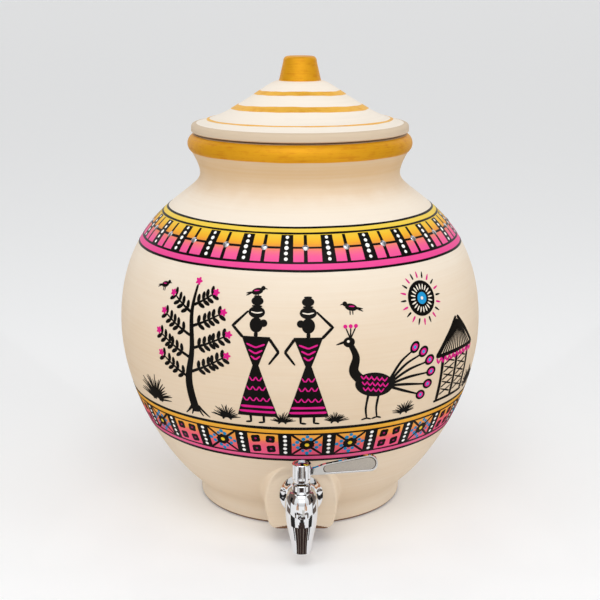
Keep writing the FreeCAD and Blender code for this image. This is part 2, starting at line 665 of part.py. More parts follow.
# ---------------------------------------------------------------- handle
def blade_face(border):
    """Side view of the lever: narrow neck, swelling paddle, round tip. The border draws it in."""
    root = FreeCAD.Vector(HUB_RADIUS / 2, stem_y, hub_foot + BLADE_ROOT_RISE)
    waist = FreeCAD.Vector(BLADE_WAIST_REACH, stem_y, hub_foot + BLADE_WAIST_RISE)
    tip = FreeCAD.Vector(BLADE_TIP_REACH, stem_y, hub_foot + BLADE_TIP_RISE)
    tip_radius = BLADE_TIP_RADIUS - border
    run = tip - waist
    lean = math.atan2(run.z, run.x)
    spread = math.asin((BLADE_TIP_RADIUS - BLADE_WAIST / 2) / run.Length)
    above = lean + math.pi / 2 + spread
    below = lean - math.pi / 2 - spread
    def off(centre, radius, turn):
        return centre + FreeCAD.Vector(math.cos(turn), 0, math.sin(turn)) * radius
    waist_half = BLADE_WAIST / 2 - border
    upper_waist = off(waist, waist_half, above)
    lower_waist = off(waist, waist_half, below)
    upper_tip = off(tip, tip_radius, above)
    lower_tip = off(tip, tip_radius, below)
    far = off(tip, tip_radius, lean)
    edges = [
        line(lower_waist, lower_tip),
        Part.Arc(lower_tip, far, upper_tip).toShape(),
        line(upper_tip, upper_waist),
    ]
    if border > 0:
        near_end = off(waist, waist_half, lean + math.pi)
        edges.append(Part.Arc(upper_waist, near_end, lower_waist).toShape())
    else:
        upper_root = root + UP * (BLADE_ROOT / 2)
        lower_root = root - UP * (BLADE_ROOT / 2)
        along = (upper_tip - upper_waist).normalize()
        back = upper_waist - along * (BLADE_WAIST / 2)
        level = upper_root + FreeCAD.Vector(HUB_RADIUS, 0, 0)
        edges.append(curve(upper_waist, back, level, upper_root))
        edges.append(line(upper_root, lower_root))
        edges.append(line(lower_root, lower_waist))
    return Part.Face(Part.Wire(Part.__sortEdges__(edges)))


def lever_handle():
    """Hub on the stem's square with the lever blade, a bare sunk panel on the blade's front."""
    hub = to_stem(spin(outline([
        spot(0, hub_foot),
        spot(HUB_FOOT_RADIUS, hub_foot),
        spot(HUB_RADIUS, hub_foot + HUB_TAPER),
        spot(HUB_RADIUS, hub_top - HUB_EDGE),
        spot(HUB_RADIUS - HUB_EDGE, hub_top),
        spot(0, hub_top),
    ])))
    blade = blade_face(0).extrude(BACK * BLADE_THICKNESS)
    blade.translate(BACK * (-BLADE_THICKNESS / 2))
    panel = blade_face(PANEL_BORDER).extrude(BACK * PANEL_DEPTH)
    panel.translate(BACK * (-BLADE_THICKNESS / 2))
    handle = hub.fuse(blade).cut(panel)
    socket = square_bar(SQUARE_SIDE + 2 * SQUARE_CLEARANCE, hub_foot, web_foot)
    screw_hole = upright_bar(SCREW_RADIUS + WASHER_CLEARANCE, web_foot, web_top)
    recess = upright_bar(RECESS_RADIUS, web_top, cap_ledge)
    cap_seat = upright_bar(CAP_RADIUS, cap_ledge, hub_top)
    for tool in (socket, screw_hole, recess, cap_seat):
        handle = handle.cut(tool)
    return handle


def spring_washer():
    inner = SCREW_RADIUS + WASHER_CLEARANCE
    return upright_ring(SPRING_WASHER_RADIUS, inner, web_top, web_top + SPRING_WASHER_THICKNESS)


def handle_screw():
    """Cap screw with a hexagon socket, down through the hub into the stem."""
    head_foot = web_top + SPRING_WASHER_THICKNESS
    head_top = head_foot + SCREW_HEAD_HEIGHT
    shank = upright_bar(SCREW_RADIUS, web_top - SCREW_LENGTH, head_foot)
    head = upright_bar(SCREW_HEAD_RADIUS, head_foot, head_top)
    socket = to_stem(hexagon_bar(SCREW_SOCKET, SCREW_SOCKET_DEPTH))
    socket.translate(UP * (head_top - SCREW_SOCKET_DEPTH))
    return shank.fuse(head).cut(socket)


def hub_cap():
    """Button that closes the hub, crowned a little, seated on the ledge in the recess."""
    radius = CAP_RADIUS - CAP_CLEARANCE
    shoulder = cap_ledge + CAP_THICKNESS
    crown = shoulder + CAP_CROWN
    return to_stem(spin([
        line(spot(0, cap_ledge), spot(radius, cap_ledge)),
        line(spot(radius, cap_ledge), spot(radius, shoulder)),
        curve(spot(radius, shoulder), spot(radius / 2, crown), spot(0, crown)),
        line(spot(0, crown), spot(0, cap_ledge)),
    ]))


# ---------------------------------------------------------------- files
PIECES = {
    "pot_body": pot_body,
    "lid": lid,
    "tap_body": tap_body,
    "wall_flange": wall_flange,
    "outer_seal_washer": outer_seal_washer,
    "inner_seal_washer": inner_seal_washer,
    "backing_washer": backing_washer,
    "lock_nut": lock_nut,
    "gland_ring": gland_ring,
    "stop_pin": stop_pin,
    "port_seat": port_seat,
    "valve_plug": valve_plug,
    "thrust_washer": thrust_washer,
    "plug_o_ring_lower": lambda: o_ring(TAP_HEIGHT - O_RING_SPACING),
    "plug_o_ring_upper": lambda: o_ring(TAP_HEIGHT + O_RING_SPACING),
    "lever_handle": lever_handle,
    "spring_washer": spring_washer,
    "handle_screw": handle_screw,
    "hub_cap": hub_cap,
}


def main():
    os.makedirs("parts", exist_ok=True)
    for name, make in PIECES.items():
        make().exportStep(os.path.join("parts", name + ".step"))


main()
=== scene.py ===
"""Dresses the packed clay water pot: emulsion paint, gold lines, patterned bands, a painted scene and a chrome tap."""
import math

import bmesh
import bpy
import numpy as np
from bpy.props import FloatProperty, FloatVectorProperty, IntProperty, PointerProperty
from bpy.types import Operator, Panel, PropertyGroup
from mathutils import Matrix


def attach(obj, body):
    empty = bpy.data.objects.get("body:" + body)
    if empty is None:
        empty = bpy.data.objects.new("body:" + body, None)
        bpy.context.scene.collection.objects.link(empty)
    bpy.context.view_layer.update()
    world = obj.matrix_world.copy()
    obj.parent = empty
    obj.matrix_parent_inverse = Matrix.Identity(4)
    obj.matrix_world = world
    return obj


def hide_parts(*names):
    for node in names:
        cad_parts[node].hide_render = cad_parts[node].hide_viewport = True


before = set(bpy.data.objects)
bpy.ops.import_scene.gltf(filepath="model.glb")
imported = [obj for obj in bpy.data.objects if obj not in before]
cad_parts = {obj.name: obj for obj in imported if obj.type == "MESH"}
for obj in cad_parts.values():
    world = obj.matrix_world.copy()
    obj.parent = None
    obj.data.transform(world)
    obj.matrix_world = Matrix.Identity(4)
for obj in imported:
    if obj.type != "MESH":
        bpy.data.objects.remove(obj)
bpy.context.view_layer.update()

bl_info = {
    "name": "Clay Water Pot",
    "version": (1, 0, 0),
    "blender": (4, 5, 0),
    "location": "View3D > Sidebar > Water Pot",
    "description": "Builds the painted surfaces of a clay water pot with a tap over its packed frame",
    "category": "Object",
}

MM = 0.001


# ---------------------------------------------------------------- sizes and colours a user may change
def linear(code):
    """Linear colour of an sRGB hex code: each channel goes through the sRGB curve."""
    channels = np.array([int(code[place:place + 2], 16) / 255 for place in (0, 2, 4)])
    return tuple(np.where(channels <= 0.04045, channels / 12.92, ((channels + 0.055) / 1.055) ** 2.4).tolist())


def number(name, value, about, **kind):
    return FloatProperty(name=name, description=about, default=value, **kind)


def length(name, millimetres, about):
    return number(name, millimetres * MM, about, unit="LENGTH")


def count(name, value, about):
    return IntProperty(name=name, description=about, default=value, min=3, max=80)


def colour(name, code, about):
    return FloatVectorProperty(
        name=name, description=about, default=linear(code), size=3, min=0.0, max=1.0, subtype="COLOR")


class PotSizes(PropertyGroup):
    """The clay body, as its CAD node has it."""
    belly_radius: length("Belly radius", 149.95, "Widest radius of the pot")
    belly_height: length("Belly height", 152.0, "Height of the widest place")
    foot_radius: length("Foot radius", 85.6, "Radius of the foot")
    foot_height: length("Foot height", 15.0, "Where the wall leaves the foot")
    foot_blend: length("Foot blend", 8.0, "Clay smoothed each way from the corner of foot and flank")
    flank_lead: length("Flank lead", 42.0, "How far the wall keeps to the angle it leaves the foot by")
    neck_radius: length("Neck radius", 82.0, "Radius at the waist of the neck")
    neck_height: length("Neck height", 275.5, "Height of the waist of the neck")
    rim_radius: length("Rim radius", 91.7, "Outer radius of the rolled rim")
    rim_height: length("Rim height", 308.0, "Top face of the rim")
    rim_bead: length("Rim bead", 8.0, "Section radius of the rolled rim")
    wall: length("Wall", 8.5, "Thickness of the clay")
    floor: length("Floor", 12.0, "Thickness of the base")
    tap_height: length("Tap height", 42.5, "Shank axis above the base")
    pad_face: length("Pad face", 122.7, "Flat face of the pad from the pot's axis")
    pad_foot: length("Pad foot", 11.4, "Underside of the pad")
    seat_face: length("Seat face", 99.2, "Flat seat inside, from the pot's axis")


class LidSizes(PropertyGroup):
    """The lid, as its CAD node has it. Rises are above the rim."""
    radius: length("Lid radius", 88.65, "Outer radius of the lid")
    side: length("Lid side", 5.0, "Upright part of the edge")
    dome_foot: length("Dome foot", 64.5, "Where the brim turns up into the dome")
    knob_rise: length("Knob rise", 41.8, "Foot of the knob")
    knob_base: length("Knob base", 16.9, "Radius at the knob's foot")
    knob_top: length("Knob top", 13.5, "Radius at the knob's top")
    edge_rise: length("Edge rise", 8.2, "Where the rounded edge meets the brim")
    dome_rise: length("Dome foot rise", 14.4, "Where the dome starts")
    knob_height: length("Knob height", 19.2, "Height of the knob")
    wall: length("Lid wall", 8.0, "Thickness of the clay")


class BandSizes(PropertyGroup):
    """The two patterned bands round the pot."""
    upper: count("Upper panels", 25, "Panels round the upper band")
    lower: count("Lower panels", 26, "Panels round the lower band")
    bar: length("Bar width", 9.5, "Width of the black bars between panels")
    line: length("Line width", 2.7, "Width of the thin upright lines")
    dot: length("Dot", 1.5, "Radius of the white dots")
    stone: length("Stone", 2.65, "Radius of the glued stones")


class TapSizes(PropertyGroup):
    """The bare panel on the lever, as its CAD node has it. Its two ends are placed from the stem's axis."""
    panel_face: length("Panel face", -152.302, "Floor of the sunk panel, from the pot's axis")
    panel_waist: length("Panel waist", 19.0, "Middle of the panel's narrow end")
    panel_waist_height: length("Panel waist height", 75.3, "Height of that place")
    panel_waist_radius: length("Panel waist radius", 2.95, "Half the height of the panel's narrow end")
    panel_tip: length("Panel tip", 50.3, "Middle of the panel's round tip")
    panel_tip_height: length("Panel tip height", 79.8, "Height of that place")
    panel_tip_radius: length("Panel tip radius", 5.15, "Radius of the panel's round tip")


class PaintColours(PropertyGroup):
    """Colours of the paints and of the clay."""
    body: colour("Body cream", "F4E9D9", "Thick coat of emulsion on the pot")
    # The thin cream is painted shade: the darker, warmer cream in the hollow of the neck and down the flank.
    thin: colour("Thin cream", "DCBB90", "Thin coat of emulsion, warmed by the clay")
    lid: colour("Lid cream", "F6ECDE", "Emulsion on the lid")
    # The lid edge colour is painted shade: a darker cream for the lid's side.
    edge: colour("Lid edge", "D6C2A8", "Thin coat on the lid's side")
    # The fired clay's dark tone also serves as painted shade in the strip under the pad.
    clay: colour("Fired clay", "80583C", "Bare clay inside and underneath")
    gold: colour("Gold", "E2A010", "Metallic gold paint")
    pale_gold: colour("Pale gold", "F3BA44", "Gold paint over the lid's white")
    black: colour("Black", "0E0C0A", "Black enamel")
    white: colour("White", "FFFDF8", "White dots")
    yellow: colour("Yellow", "F6CD33", "Hearts of the stars")
    magenta: colour("Magenta", "DB1F86", "Stripes and blossoms")
    blue: colour("Blue", "1E97D2", "Dots, and the sun's heart")


class StageSettings(PropertyGroup):
    """Camera, lamps and floor."""
    distance: length("Camera distance", 994.5, "Camera from the pot's axis, level")
    height: length("Camera height", 416.9, "Camera above the floor")
    tilt: number("Tilt", math.radians(14.14), "How far the camera looks down", subtype="ANGLE")
    turn: number("Turn", math.radians(0.45), "How far round the pot the camera stands", subtype="ANGLE")
    lens: number("Lens", 72.76, "Focal length", min=1.0, unit="CAMERA")
    key: number("Key lamp", 6.5, "Power of the overhead softbox", unit="POWER")
    front: number("Front lamp", 1.8, "Power of the softbox in front", unit="POWER")
    fill: number("Fill lamps", 1.7, "Power of each side softbox", unit="POWER")
    sky: number("Sky", 0.66, "Strength of the even light all round", min=0.0, subtype="FACTOR")
    horizon: number("Horizon", 0.73, "Backdrop's tone where it meets the floor", min=0.0, subtype="FACTOR")
    lift: number("Floor lift", 0.10, "White added to the floor as the camera sees it", min=0.0, subtype="FACTOR")
    floor: colour("Floor", "F4F5F6", "Pale studio floor")


def ready(context):
    """The settings of the pot, the lid, the bands and the paints."""
    scene = context.scene
    return scene.pot_sizes, scene.lid_sizes, scene.band_sizes, scene.paint_colours


# ---------------------------------------------------------------- meshes
def quads_of(rows, columns, closed):
    """Corner numbers of the quads between neighbouring rows and columns of a grid of points."""
    row = np.arange(rows - 1)[:, None] * columns
    column = np.arange(columns if closed else columns - 1)
    after = (column + 1) % columns
    corners = (row + column, row + after, row + columns + after, row + columns + column)
    return np.stack(corners, axis=-1).reshape(-1, 4)


def placed(name, data):
    """A new object that holds the data, linked into the scene."""
    made = bpy.data.objects.new(name, data)
    bpy.context.scene.collection.objects.link(made)
    return made


def make_piece(name, points, quads, materials, body="pot", slots=None, sharp=40.0):
    """Mesh of the points and quads, with points in one place merged, and shaded smooth but for sharp edges."""
    mesh = bpy.data.meshes.new(name)
    mesh.from_pydata(points.reshape(-1, 3).tolist(), [], quads.tolist())
    if slots is not None:
        mesh.polygons.foreach_set("material_index", slots.astype(np.int32))
    for material in materials:
        mesh.materials.append(material)
    shell = bmesh.new()
    shell.from_mesh(mesh)
    bmesh.ops.remove_doubles(shell, verts=shell.verts, dist=0.0005 * MM)
    shell.to_mesh(mesh)
    shell.free()
    mesh.shade_smooth()
    mesh.set_sharp_from_angle(angle=math.radians(sharp))
    piece = placed(name, mesh)
    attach(piece, body)
    return piece


def bezier(poles, count=60):
    """Points of a Bezier curve: its poles weighted by the Bernstein polynomials of t from 0 to 1."""
    t = np.linspace(0.0, 1.0, count)[:, None]
    order = len(poles) - 1
    return sum(
        math.comb(order, k) * t ** k * (1 - t) ** (order - k) * np.array(pole, dtype=float)
        for k, pole in enumerate(poles))


def arc(centre, radius, start, end, count):
    """Points on a circle about the centre, at even angles from start to end in degrees."""
    turn = np.radians(np.linspace(start, end, count))
    return np.array(centre) + radius * np.stack([np.cos(turn), np.sin(turn)], axis=1)


def above(place, rise):
    return place[0], place[1] + rise


def run(*parts):
    """Points of the parts in order, each place once."""
    points = np.vstack([np.atleast_2d(part) for part in parts])
    steps = np.linalg.norm(np.diff(points, axis=0), axis=1)
    return points[np.concatenate([[True], steps > 1e-7])]


def lengths_of(points):
    """Distance along the points from the first."""
    return np.concatenate([[0.0], np.cumsum(np.linalg.norm(np.diff(points, axis=0), axis=1))])


def spaced(points, step):
    """The same line with points about a step apart, its ends kept."""
    points = np.asarray(points)
    along = lengths_of(points)
    places = np.linspace(0.0, along[-1], max(2, int(round(along[-1] / step)) + 1))
    return np.stack([np.interp(places, along, values) for values in points.T], axis=1)


def left_of(points):
    """Unit direction square to the line at each of its points, to its left."""
    step = np.gradient(points, axis=0)
    step /= np.linalg.norm(step, axis=1)[:, None]
    return np.stack([-step[:, 1], step[:, 0]], axis=1)


def turned(radius, height, angles):
    """Points of a turned surface: each row is a circle of that radius and height, angles from -Y towards +X."""
    radius = np.broadcast_to(radius, (len(height), len(angles)))
    height = np.broadcast_to(np.asarray(height)[:, None], radius.shape)
    return np.stack([radius * np.sin(angles), -radius * np.cos(angles), height], axis=-1)


# ---------------------------------------------------------------- the pot's section
FOOT_EDGE, LIP_EDGE = 2.5 * MM, 2 * MM
FOOT_EDGE_POINTS, LIP_POINTS = 8, 6
# How far the curves' poles stand below and above the belly, and below and above the waist of the neck.
BELLY_DOWN, BELLY_UP, WAIST_DOWN, WAIST_UP = -52 * MM, 95 * MM, -18 * MM, 7.5 * MM


def pot_outside(size):
    """Outside of the pot as (radius, height): foot, flank and shoulder curves, neck, rolled rim to its top."""
    belly, waist = (size.belly_radius, size.belly_height), (size.neck_radius, size.neck_height)
    bead = (size.rim_radius - size.rim_bead, size.rim_height - size.rim_bead)
    lead = math.radians(50.0)
    along = np.array((math.sin(lead), math.cos(lead)))
    corner = np.array((size.foot_radius, size.foot_height))
    flank_start = corner + size.foot_blend * along
    flank = bezier([flank_start, corner + size.flank_lead * along, above(belly, BELLY_DOWN), belly], 200)
    shoulder = bezier([belly, above(belly, BELLY_UP), above(waist, WAIST_DOWN), waist], 200)
    rim = arc(bead, size.rim_bead, -50, 90, 40)
    flare = bezier([waist, above(waist, WAIST_UP), rim[0]], 40)
    edge = arc((size.foot_radius - FOOT_EDGE, FOOT_EDGE), FOOT_EDGE, -90, 0, FOOT_EDGE_POINTS)
    foot = run(edge, bezier([corner - (0, size.foot_blend), corner, flank_start], 14))
    return foot, flank, shoulder, flare, rim


def pot_inside(size):
    """Inside of the pot from the mouth down to the middle of the floor, a wall's thickness in from the outside."""
    _, flank, shoulder, _, _ = pot_outside(size)
    mouth = size.neck_radius - size.wall
    flank, shoulder = (part + size.wall * left_of(part) for part in (flank, shoulder))
    slope = flank[1] - flank[0]
    turn = flank[0] - slope * (flank[0][1] - size.floor) / slope[1]
    sweep = bezier([flank[0], turn, (turn[0] - 15 * MM, size.floor)], 14)
    neck = np.array([(mouth, size.rim_height - LIP_EDGE), (mouth, shoulder[-1][1])])
    return neck, shoulder[::-1], flank[::-1], sweep


def blend_out(first, second, reach):
    """The larger of two radii, with the corner between them filled over the reach."""
    near = np.clip(1 - np.abs(first - second) / reach, 0, None)
    return np.maximum(first, second) + near * near * reach / 4


def step_up(value, low, high):
    """0 below low, 1 above high, and a smooth S between."""
    t = np.clip((value - low) / (high - low), 0, 1)
    return t * t * (3 - 2 * t)


def pad_radius(size, angles, heights):
    """How far out the tap pad reaches: its flat face or its side, whichever is nearer, with rounded corners."""
    z, a = heights[:, None], np.abs(angles)
    rise, corner, cheek_corner = z - size.pad_foot, 7 * MM, 11 * MM
    drop = corner * (1 - np.sqrt(1 - np.clip(1 - rise / corner, 0, 1) ** 2))
    cheek, level = bezier([(24.0, 12.5), (30.0, 28.0), (37.0, 62.0), (0.0, 72.0)]).T * MM
    face = (size.pad_face - drop) / np.cos(a)
    side = (np.interp(z, level, cheek, right=0.0) - drop) / np.sin(np.maximum(a, 0.02))
    inside = (rise >= 0) & (a < math.radians(40)) & (z < 90 * MM)
    return np.where(inside, -blend_out(-face, -side, cheek_corner), 0.0)


def from_shank(size, face, angles, height):
    """Distance from the shank's axis, over a flat face that far from the pot's axis."""
    return np.hypot(face * np.tan(np.clip(angles, -1.2, 1.2)), height[:, None] - size.tap_height)


def clay_radius(size, radius, height, angles):
    """Radius of the outside all round: the turned section, with the pad blended into it by hand.

    The blend is soft, but tight under the flange and at the pad's top."""
    pad = pad_radius(size, angles, height)
    soft = step_up(from_shank(size, size.pad_face, angles, height), 17.5 * MM, 30 * MM)
    fade = 1 - step_up(height, 62 * MM, 71 * MM)[:, None]
    base = np.broadcast_to(radius[:, None], pad.shape)
    return np.where(pad > 0, blend_out(base, pad, (0.5 + 13.5 * soft * fade) * MM), base)


def seat_radius(size, radius, height, angles):
    """Radius of the inside all round: the turned section, pressed flat round the shank for the nut's washers."""
    flat = size.seat_face / np.cos(np.clip(angles, -1.0, 1.0))
    away = step_up(from_shank(size, size.seat_face, angles, height), 18 * MM, 20 * MM)
    away = np.where(np.abs(angles) < 1.0, away, 1.0)
    return flat * (1 - away) + radius[:, None] * away


def round_angles():
    """Angles of the columns round the pot: close together at the tap pad, wider apart elsewhere."""
    fine = np.radians(np.arange(-19.0, 19.01, 0.3))
    rest = np.linspace(fine[-1], 2 * math.pi + fine[0], 162)[1:-1]
    return np.concatenate([fine, rest])


# ---------------------------------------------------------------- painting on a turned surface
# Paint starts a little inside the skin. Its three heights keep coats that overlap apart.
PAINT_FOOT = -0.08 * MM
GROUND, LINES, OVER = 0.10 * MM, 0.16 * MM, 0.22 * MM
# Longest step of a patch and of a stroke, in millimetres.
PATCH_STEP, STROKE_STEP = 3.0, 1.6


class Skin:
    """A turned surface to paint on: radius, height and outward direction by the distance along its section."""

    def __init__(self, section):
        self.along = lengths_of(section)
        self.radius, self.height = section.T
        self.out, self.up = -left_of(section).T

    def at(self, angle, along, lift):
        """Points on the skin, lifted square to it."""
        radius, out, height, up = (
            np.interp(along, self.along, values) for values in (self.radius, self.out, self.height, self.up))
        radius = radius + lift * out
        return np.stack([radius * np.sin(angle), -radius * np.cos(angle), height + lift * up], axis=-1)

    def along_at(self, height):
        return np.interp(height, self.height, self.along)

    def along_out(self, radius):
        return np.interp(-radius, -self.radius, self.along)


class Layer:
    """One coat of paint: thin closed patches, all of one height off the skin."""

    def __init__(self, skin, high):
        self.skin, self.high = skin, high
        self.points, self.quads, self.count = [], [], 0

    def coat(self, angle, along, closed, outward=False):
        """A patch over a grid of places: an upper sheet, a lower one facing in, and a wall round each open border."""
        if not outward and turning(angle, along, closed) < 0:
            angle, along = (angle[::-1], along[::-1]) if closed else (angle[:, ::-1], along[:, ::-1])
        rows, columns = angle.shape
        over = quads_of(rows, columns, closed)
        size = rows * columns
        index = np.arange(size).reshape(rows, columns)
        borders = [index[0], index[-1][::-1]]
        if closed:
            borders = [np.append(border, border[0]) for border in borders]
        else:
            borders += [index[::-1, 0], index[:, -1]]
        spread = angle.ravel() + 1j * along.ravel()
        borders = [border for border in borders if np.abs(spread[border] - spread[border[0]]).max() > 1e-9]
        walls = [np.stack([edge[:-1] + size, edge[1:] + size, edge[1:], edge[:-1]], axis=1) for edge in borders]
        self.points += [self.skin.at(angle, along, lift).reshape(-1, 3) for lift in (self.high, PAINT_FOOT)]
        self.quads.append(np.vstack([over, over[:, ::-1] + size] + walls) + self.count)
        self.count += 2 * size

    def ring(self, low, high, seed, shake, columns, rows=2, sag=0.0):
        """A line or stripe all round, between two distances along the section, its edges a little unsteady.

        From the front to the sides it sags by sine squared of the angle, and keeps that all round the back."""
        angle = np.linspace(-math.pi, math.pi, columns, endpoint=False)
        drop = sag * np.where(np.abs(angle) < math.pi / 2, np.sin(angle) ** 2, 1.0)
        low, high = (place - drop + unsteady(angle, shake, seed + k) for k, place in enumerate((low, high)))
        share = np.linspace(0.0, 1.0, rows)[:, None]
        along = low * (1 - share) + high * share
        self.coat(np.broadcast_to(angle, along.shape), along, closed=True, outward=True)

    def finish(self, name, material, body="pot"):
        make_piece(name, np.vstack(self.points), np.vstack(self.quads), [material], body, sharp=50)


def turning(angle, along, closed):
    """Area of a grid of places, positive where its columns run right and its rows run up."""
    if closed:
        angle, along = (np.concatenate([grid, grid[:, :1]], axis=1) for grid in (angle, along))
    rise_x, rise_y = (grid[1:, 1:] - grid[:-1, :-1] for grid in (angle, along))
    fall_x, fall_y = (grid[1:, :-1] - grid[:-1, 1:] for grid in (angle, along))
    return np.sum(rise_x * fall_y - rise_y * fall_x)


def unsteady(place, size, seed):
    """A slow wander of the hand: sines of a few wavelengths with seeded phases, up to the size each way."""
    waves = np.array([2, 3, 5, 9, 17])
    phases = np.random.default_rng(seed).uniform(0, 2 * math.pi, len(waves))
    return size * np.sum([np.sin(k * place + p) for k, p in zip(waves, phases)], axis=0) / len(waves) * 1.6


class Brush:
    """Paints in millimetres about an anchor on the skin: x to the right, y up along the section."""

    def __init__(self, layer, angle, height):
        self.layer, self.angle = layer, angle
        self.along = layer.skin.along_at(height)
        self.radius = np.interp(self.along, layer.skin.along, layer.skin.radius)

    def put(self, x, y, closed=False):
        self.layer.coat(self.angle + x * MM / self.radius, self.along + y * MM, closed)

    def spot(self, x, y, width, tall=None, sides=14, rings=1, petals=0, depth=0.0, turn=0.0):
        """A filled round or petalled shape: rings of points from its centre out to the outline."""
        phi = np.linspace(0, 2 * math.pi, sides, endpoint=False)
        reach = 1 - depth * (0.5 - 0.5 * np.cos(petals * phi))
        share = np.linspace(0, 1, rings + 1)[:, None]
        c, s = math.cos(turn), math.sin(turn)
        u = width * reach * np.cos(phi) * share
        v = (tall or width) * reach * np.sin(phi) * share
        self.put(x + u * c - v * s, y + u * s + v * c, closed=True)

    def patch(self, *corners):
        """A four-cornered patch, each place weighted from the corners in order round it."""
        a, b, c, d = np.array(corners, dtype=float)
        sides = max(np.linalg.norm(b - a), np.linalg.norm(c - d)), max(np.linalg.norm(d - a), np.linalg.norm(c - b))
        u, v = (np.linspace(0, 1, max(2, int(side / PATCH_STEP) + 2)) for side in sides)
        u, v = u[None, :, None], v[:, None, None]
        place = (a * (1 - u) + b * u) * (1 - v) + (d * (1 - u) + c * u) * v
        self.put(place[..., 0], place[..., 1])

    def stroke(self, points, width, tip=None, bend=True):
        """A brush stroke: a smooth line through the points, its width run from width to tip, with a soft waver."""
        points = np.array(points, dtype=float)
        if bend and len(points) > 2:
            points = smooth(points)
        line = spaced(points, STROKE_STEP)
        if len(line) < 3:
            line = spaced(points, lengths_of(points)[-1] / 2)
        t = np.linspace(0, 1, len(line))
        half = 0.5 * (width + ((width if tip is None else tip) - width) * t)
        half = half * (1 + 0.07 * np.sin(9 * t + points[0, 0]))
        half = half * np.sqrt(np.clip(np.minimum(t, 1 - t) * 40 + 0.35, 0, 1))
        grid = line + np.array([-1.0, 0.0, 1.0])[:, None, None] * (left_of(line) * half[:, None])
        self.put(grid[..., 0], grid[..., 1])


def smooth(points, steps=10):
    """A curve through the points: between two of them, a cubic that takes its slopes from their neighbours."""
    before = np.vstack([2 * points[0] - points[1], points[:-2]])
    start, end = points[:-1], points[1:]
    after = np.vstack([points[2:], 2 * points[-1] - points[-2]])
    t = np.linspace(0, 1, steps, endpoint=False)[None, :, None]
    first, last = (end - before)[:, None] / 2, (after - start)[:, None] / 2
    start, end = start[:, None], end[:, None]
    curve = ((2 * t ** 3 - 3 * t ** 2 + 1) * start + (t ** 3 - 2 * t ** 2 + t) * first
             + (3 * t ** 2 - 2 * t ** 3) * end + (t ** 3 - t ** 2) * last)
    return np.vstack([curve.reshape(-1, 2), points[-1:]])


# ---------------------------------------------------------------- materials
def fill(owner, node, inputs):
    """The node's sockets set by name or place, from values, colours or sockets to link from."""
    for place, value in inputs.items():
        socket = node.inputs[place]
        if isinstance(value, bpy.types.NodeSocket):
            owner.node_tree.links.new(value, socket)
        else:
            socket.default_value = (*value, 1.0) if socket.type == "RGBA" else value


def add(owner, kind, inputs=None, **settings):
    """A new shader node in a material or world, its properties set from the settings, its sockets from the inputs."""
    made = owner.node_tree.nodes.new("ShaderNode" + kind)
    for name, value in settings.items():
        setattr(made, name, value)
    fill(owner, made, inputs or {})
    return made


def new_material(name):
    material = bpy.data.materials.new(name)
    material.use_nodes = True
    return material


def shade(material, **inputs):
    """The material, with its Principled shader's sockets set by name."""
    shader = material.node_tree.nodes["Principled BSDF"]
    fill(material, shader, {place.replace("_", " "): value for place, value in inputs.items()})
    return material


def noise(material, scale, detail=4.0, stretch=(1.0, 1.0, 1.0)):
    """Noise read in metres from Object coordinates, stretched by the factors on X, Y and Z."""
    place = add(material, "TexCoord").outputs["Object"]
    spread = add(material, "VectorMath", {0: place, 1: stretch}, operation="MULTIPLY").outputs[0]
    return add(material, "TexNoise", {"Vector": spread, "Scale": scale, "Detail": detail}).outputs["Fac"]


def varied(material, field, *stops):
    """A colour run through the stops as the field rises: each stop is a place from 0 to 1 and a colour."""
    ramp = add(material, "ValToRGB", {"Fac": field})
    points = ramp.color_ramp.elements
    while len(points) < len(stops):
        points.new(1.0)
    for point, (place, tint) in zip(points, stops):
        point.position, point.color = place, (*tint, 1.0)
    return ramp.outputs["Color"]


def by_height(material, stops, waver):
    """A colour run through the stops, placed by height in millimetres, which wanders up to the waver each way."""
    low, high = stops[0][0] * MM, stops[-1][0] * MM
    place = add(material, "TexCoord").outputs["Object"]
    height = add(material, "SeparateXYZ", {0: place}).outputs["Z"]
    drift = noise(material, 90.0, 3.0)
    wander = add(material, "MapRange", {"Value": drift, "To Min": -waver, "To Max": waver}).outputs[0]
    height = add(material, "Math", {0: height, 1: wander}, operation="ADD").outputs[0]
    share = add(material, "MapRange", {"Value": height, "From Min": low, "From Max": high}).outputs[0]
    return varied(material, share, *(((level * MM - low) / (high - low), tint) for level, tint in stops))


def relief(material, strength, depth, *fields):
    """A bump made from the sum of the fields, its depth in metres."""
    height = fields[0]
    for field in fields[1:]:
        height = add(material, "Math", {0: height, 1: field}, operation="ADD").outputs[0]
    return add(material, "Bump", {"Strength": strength, "Distance": depth, "Height": height}).outputs[0]


def shaded(tint, share):
    return tuple(channel * share for channel in tint)


def emulsion(name, thick, thin=None, shade_stops=()):
    """Matt wall emulsion brushed on turned clay: soft, even, with faint level lines from the wheel and brush.

    Any stops given set the share of the thick colour by height in millimetres: painted shade, darker and warmer
    in the hollow of the neck under the rim and down the flank, where the thin colour takes over."""
    material = new_material(name)
    lines = noise(material, 1.0, 3.0, (9.0, 9.0, 620.0))
    patches = noise(material, 18.0, stretch=(1.0, 1.0, 1.6))
    field = add(material, "Math", {0: lines, 1: patches}, operation="ADD").outputs[0]
    stops = (0.75, shaded(thick, 0.965)), (1.25, thick)
    if shade_stops:
        share = by_height(material, [(level, (part,) * 3) for level, part in shade_stops], 2.5 * MM)
        patchy = add(material, "MapRange", {
            "Value": field, "From Min": 0.6, "From Max": 1.4, "To Min": -0.09, "To Max": 0.09}).outputs[0]
        field = add(material, "Math", {0: share, 1: patchy}, operation="ADD").outputs[0]
        stops = (0.0, thin), (1.0, thick)
    return shade(
        material, Base_Color=varied(material, field, *stops), Roughness=0.62, Specular_IOR_Level=0.25,
        Normal=relief(material, 0.35, 0.12 * MM, lines, noise(material, 1500.0, 2.0)))


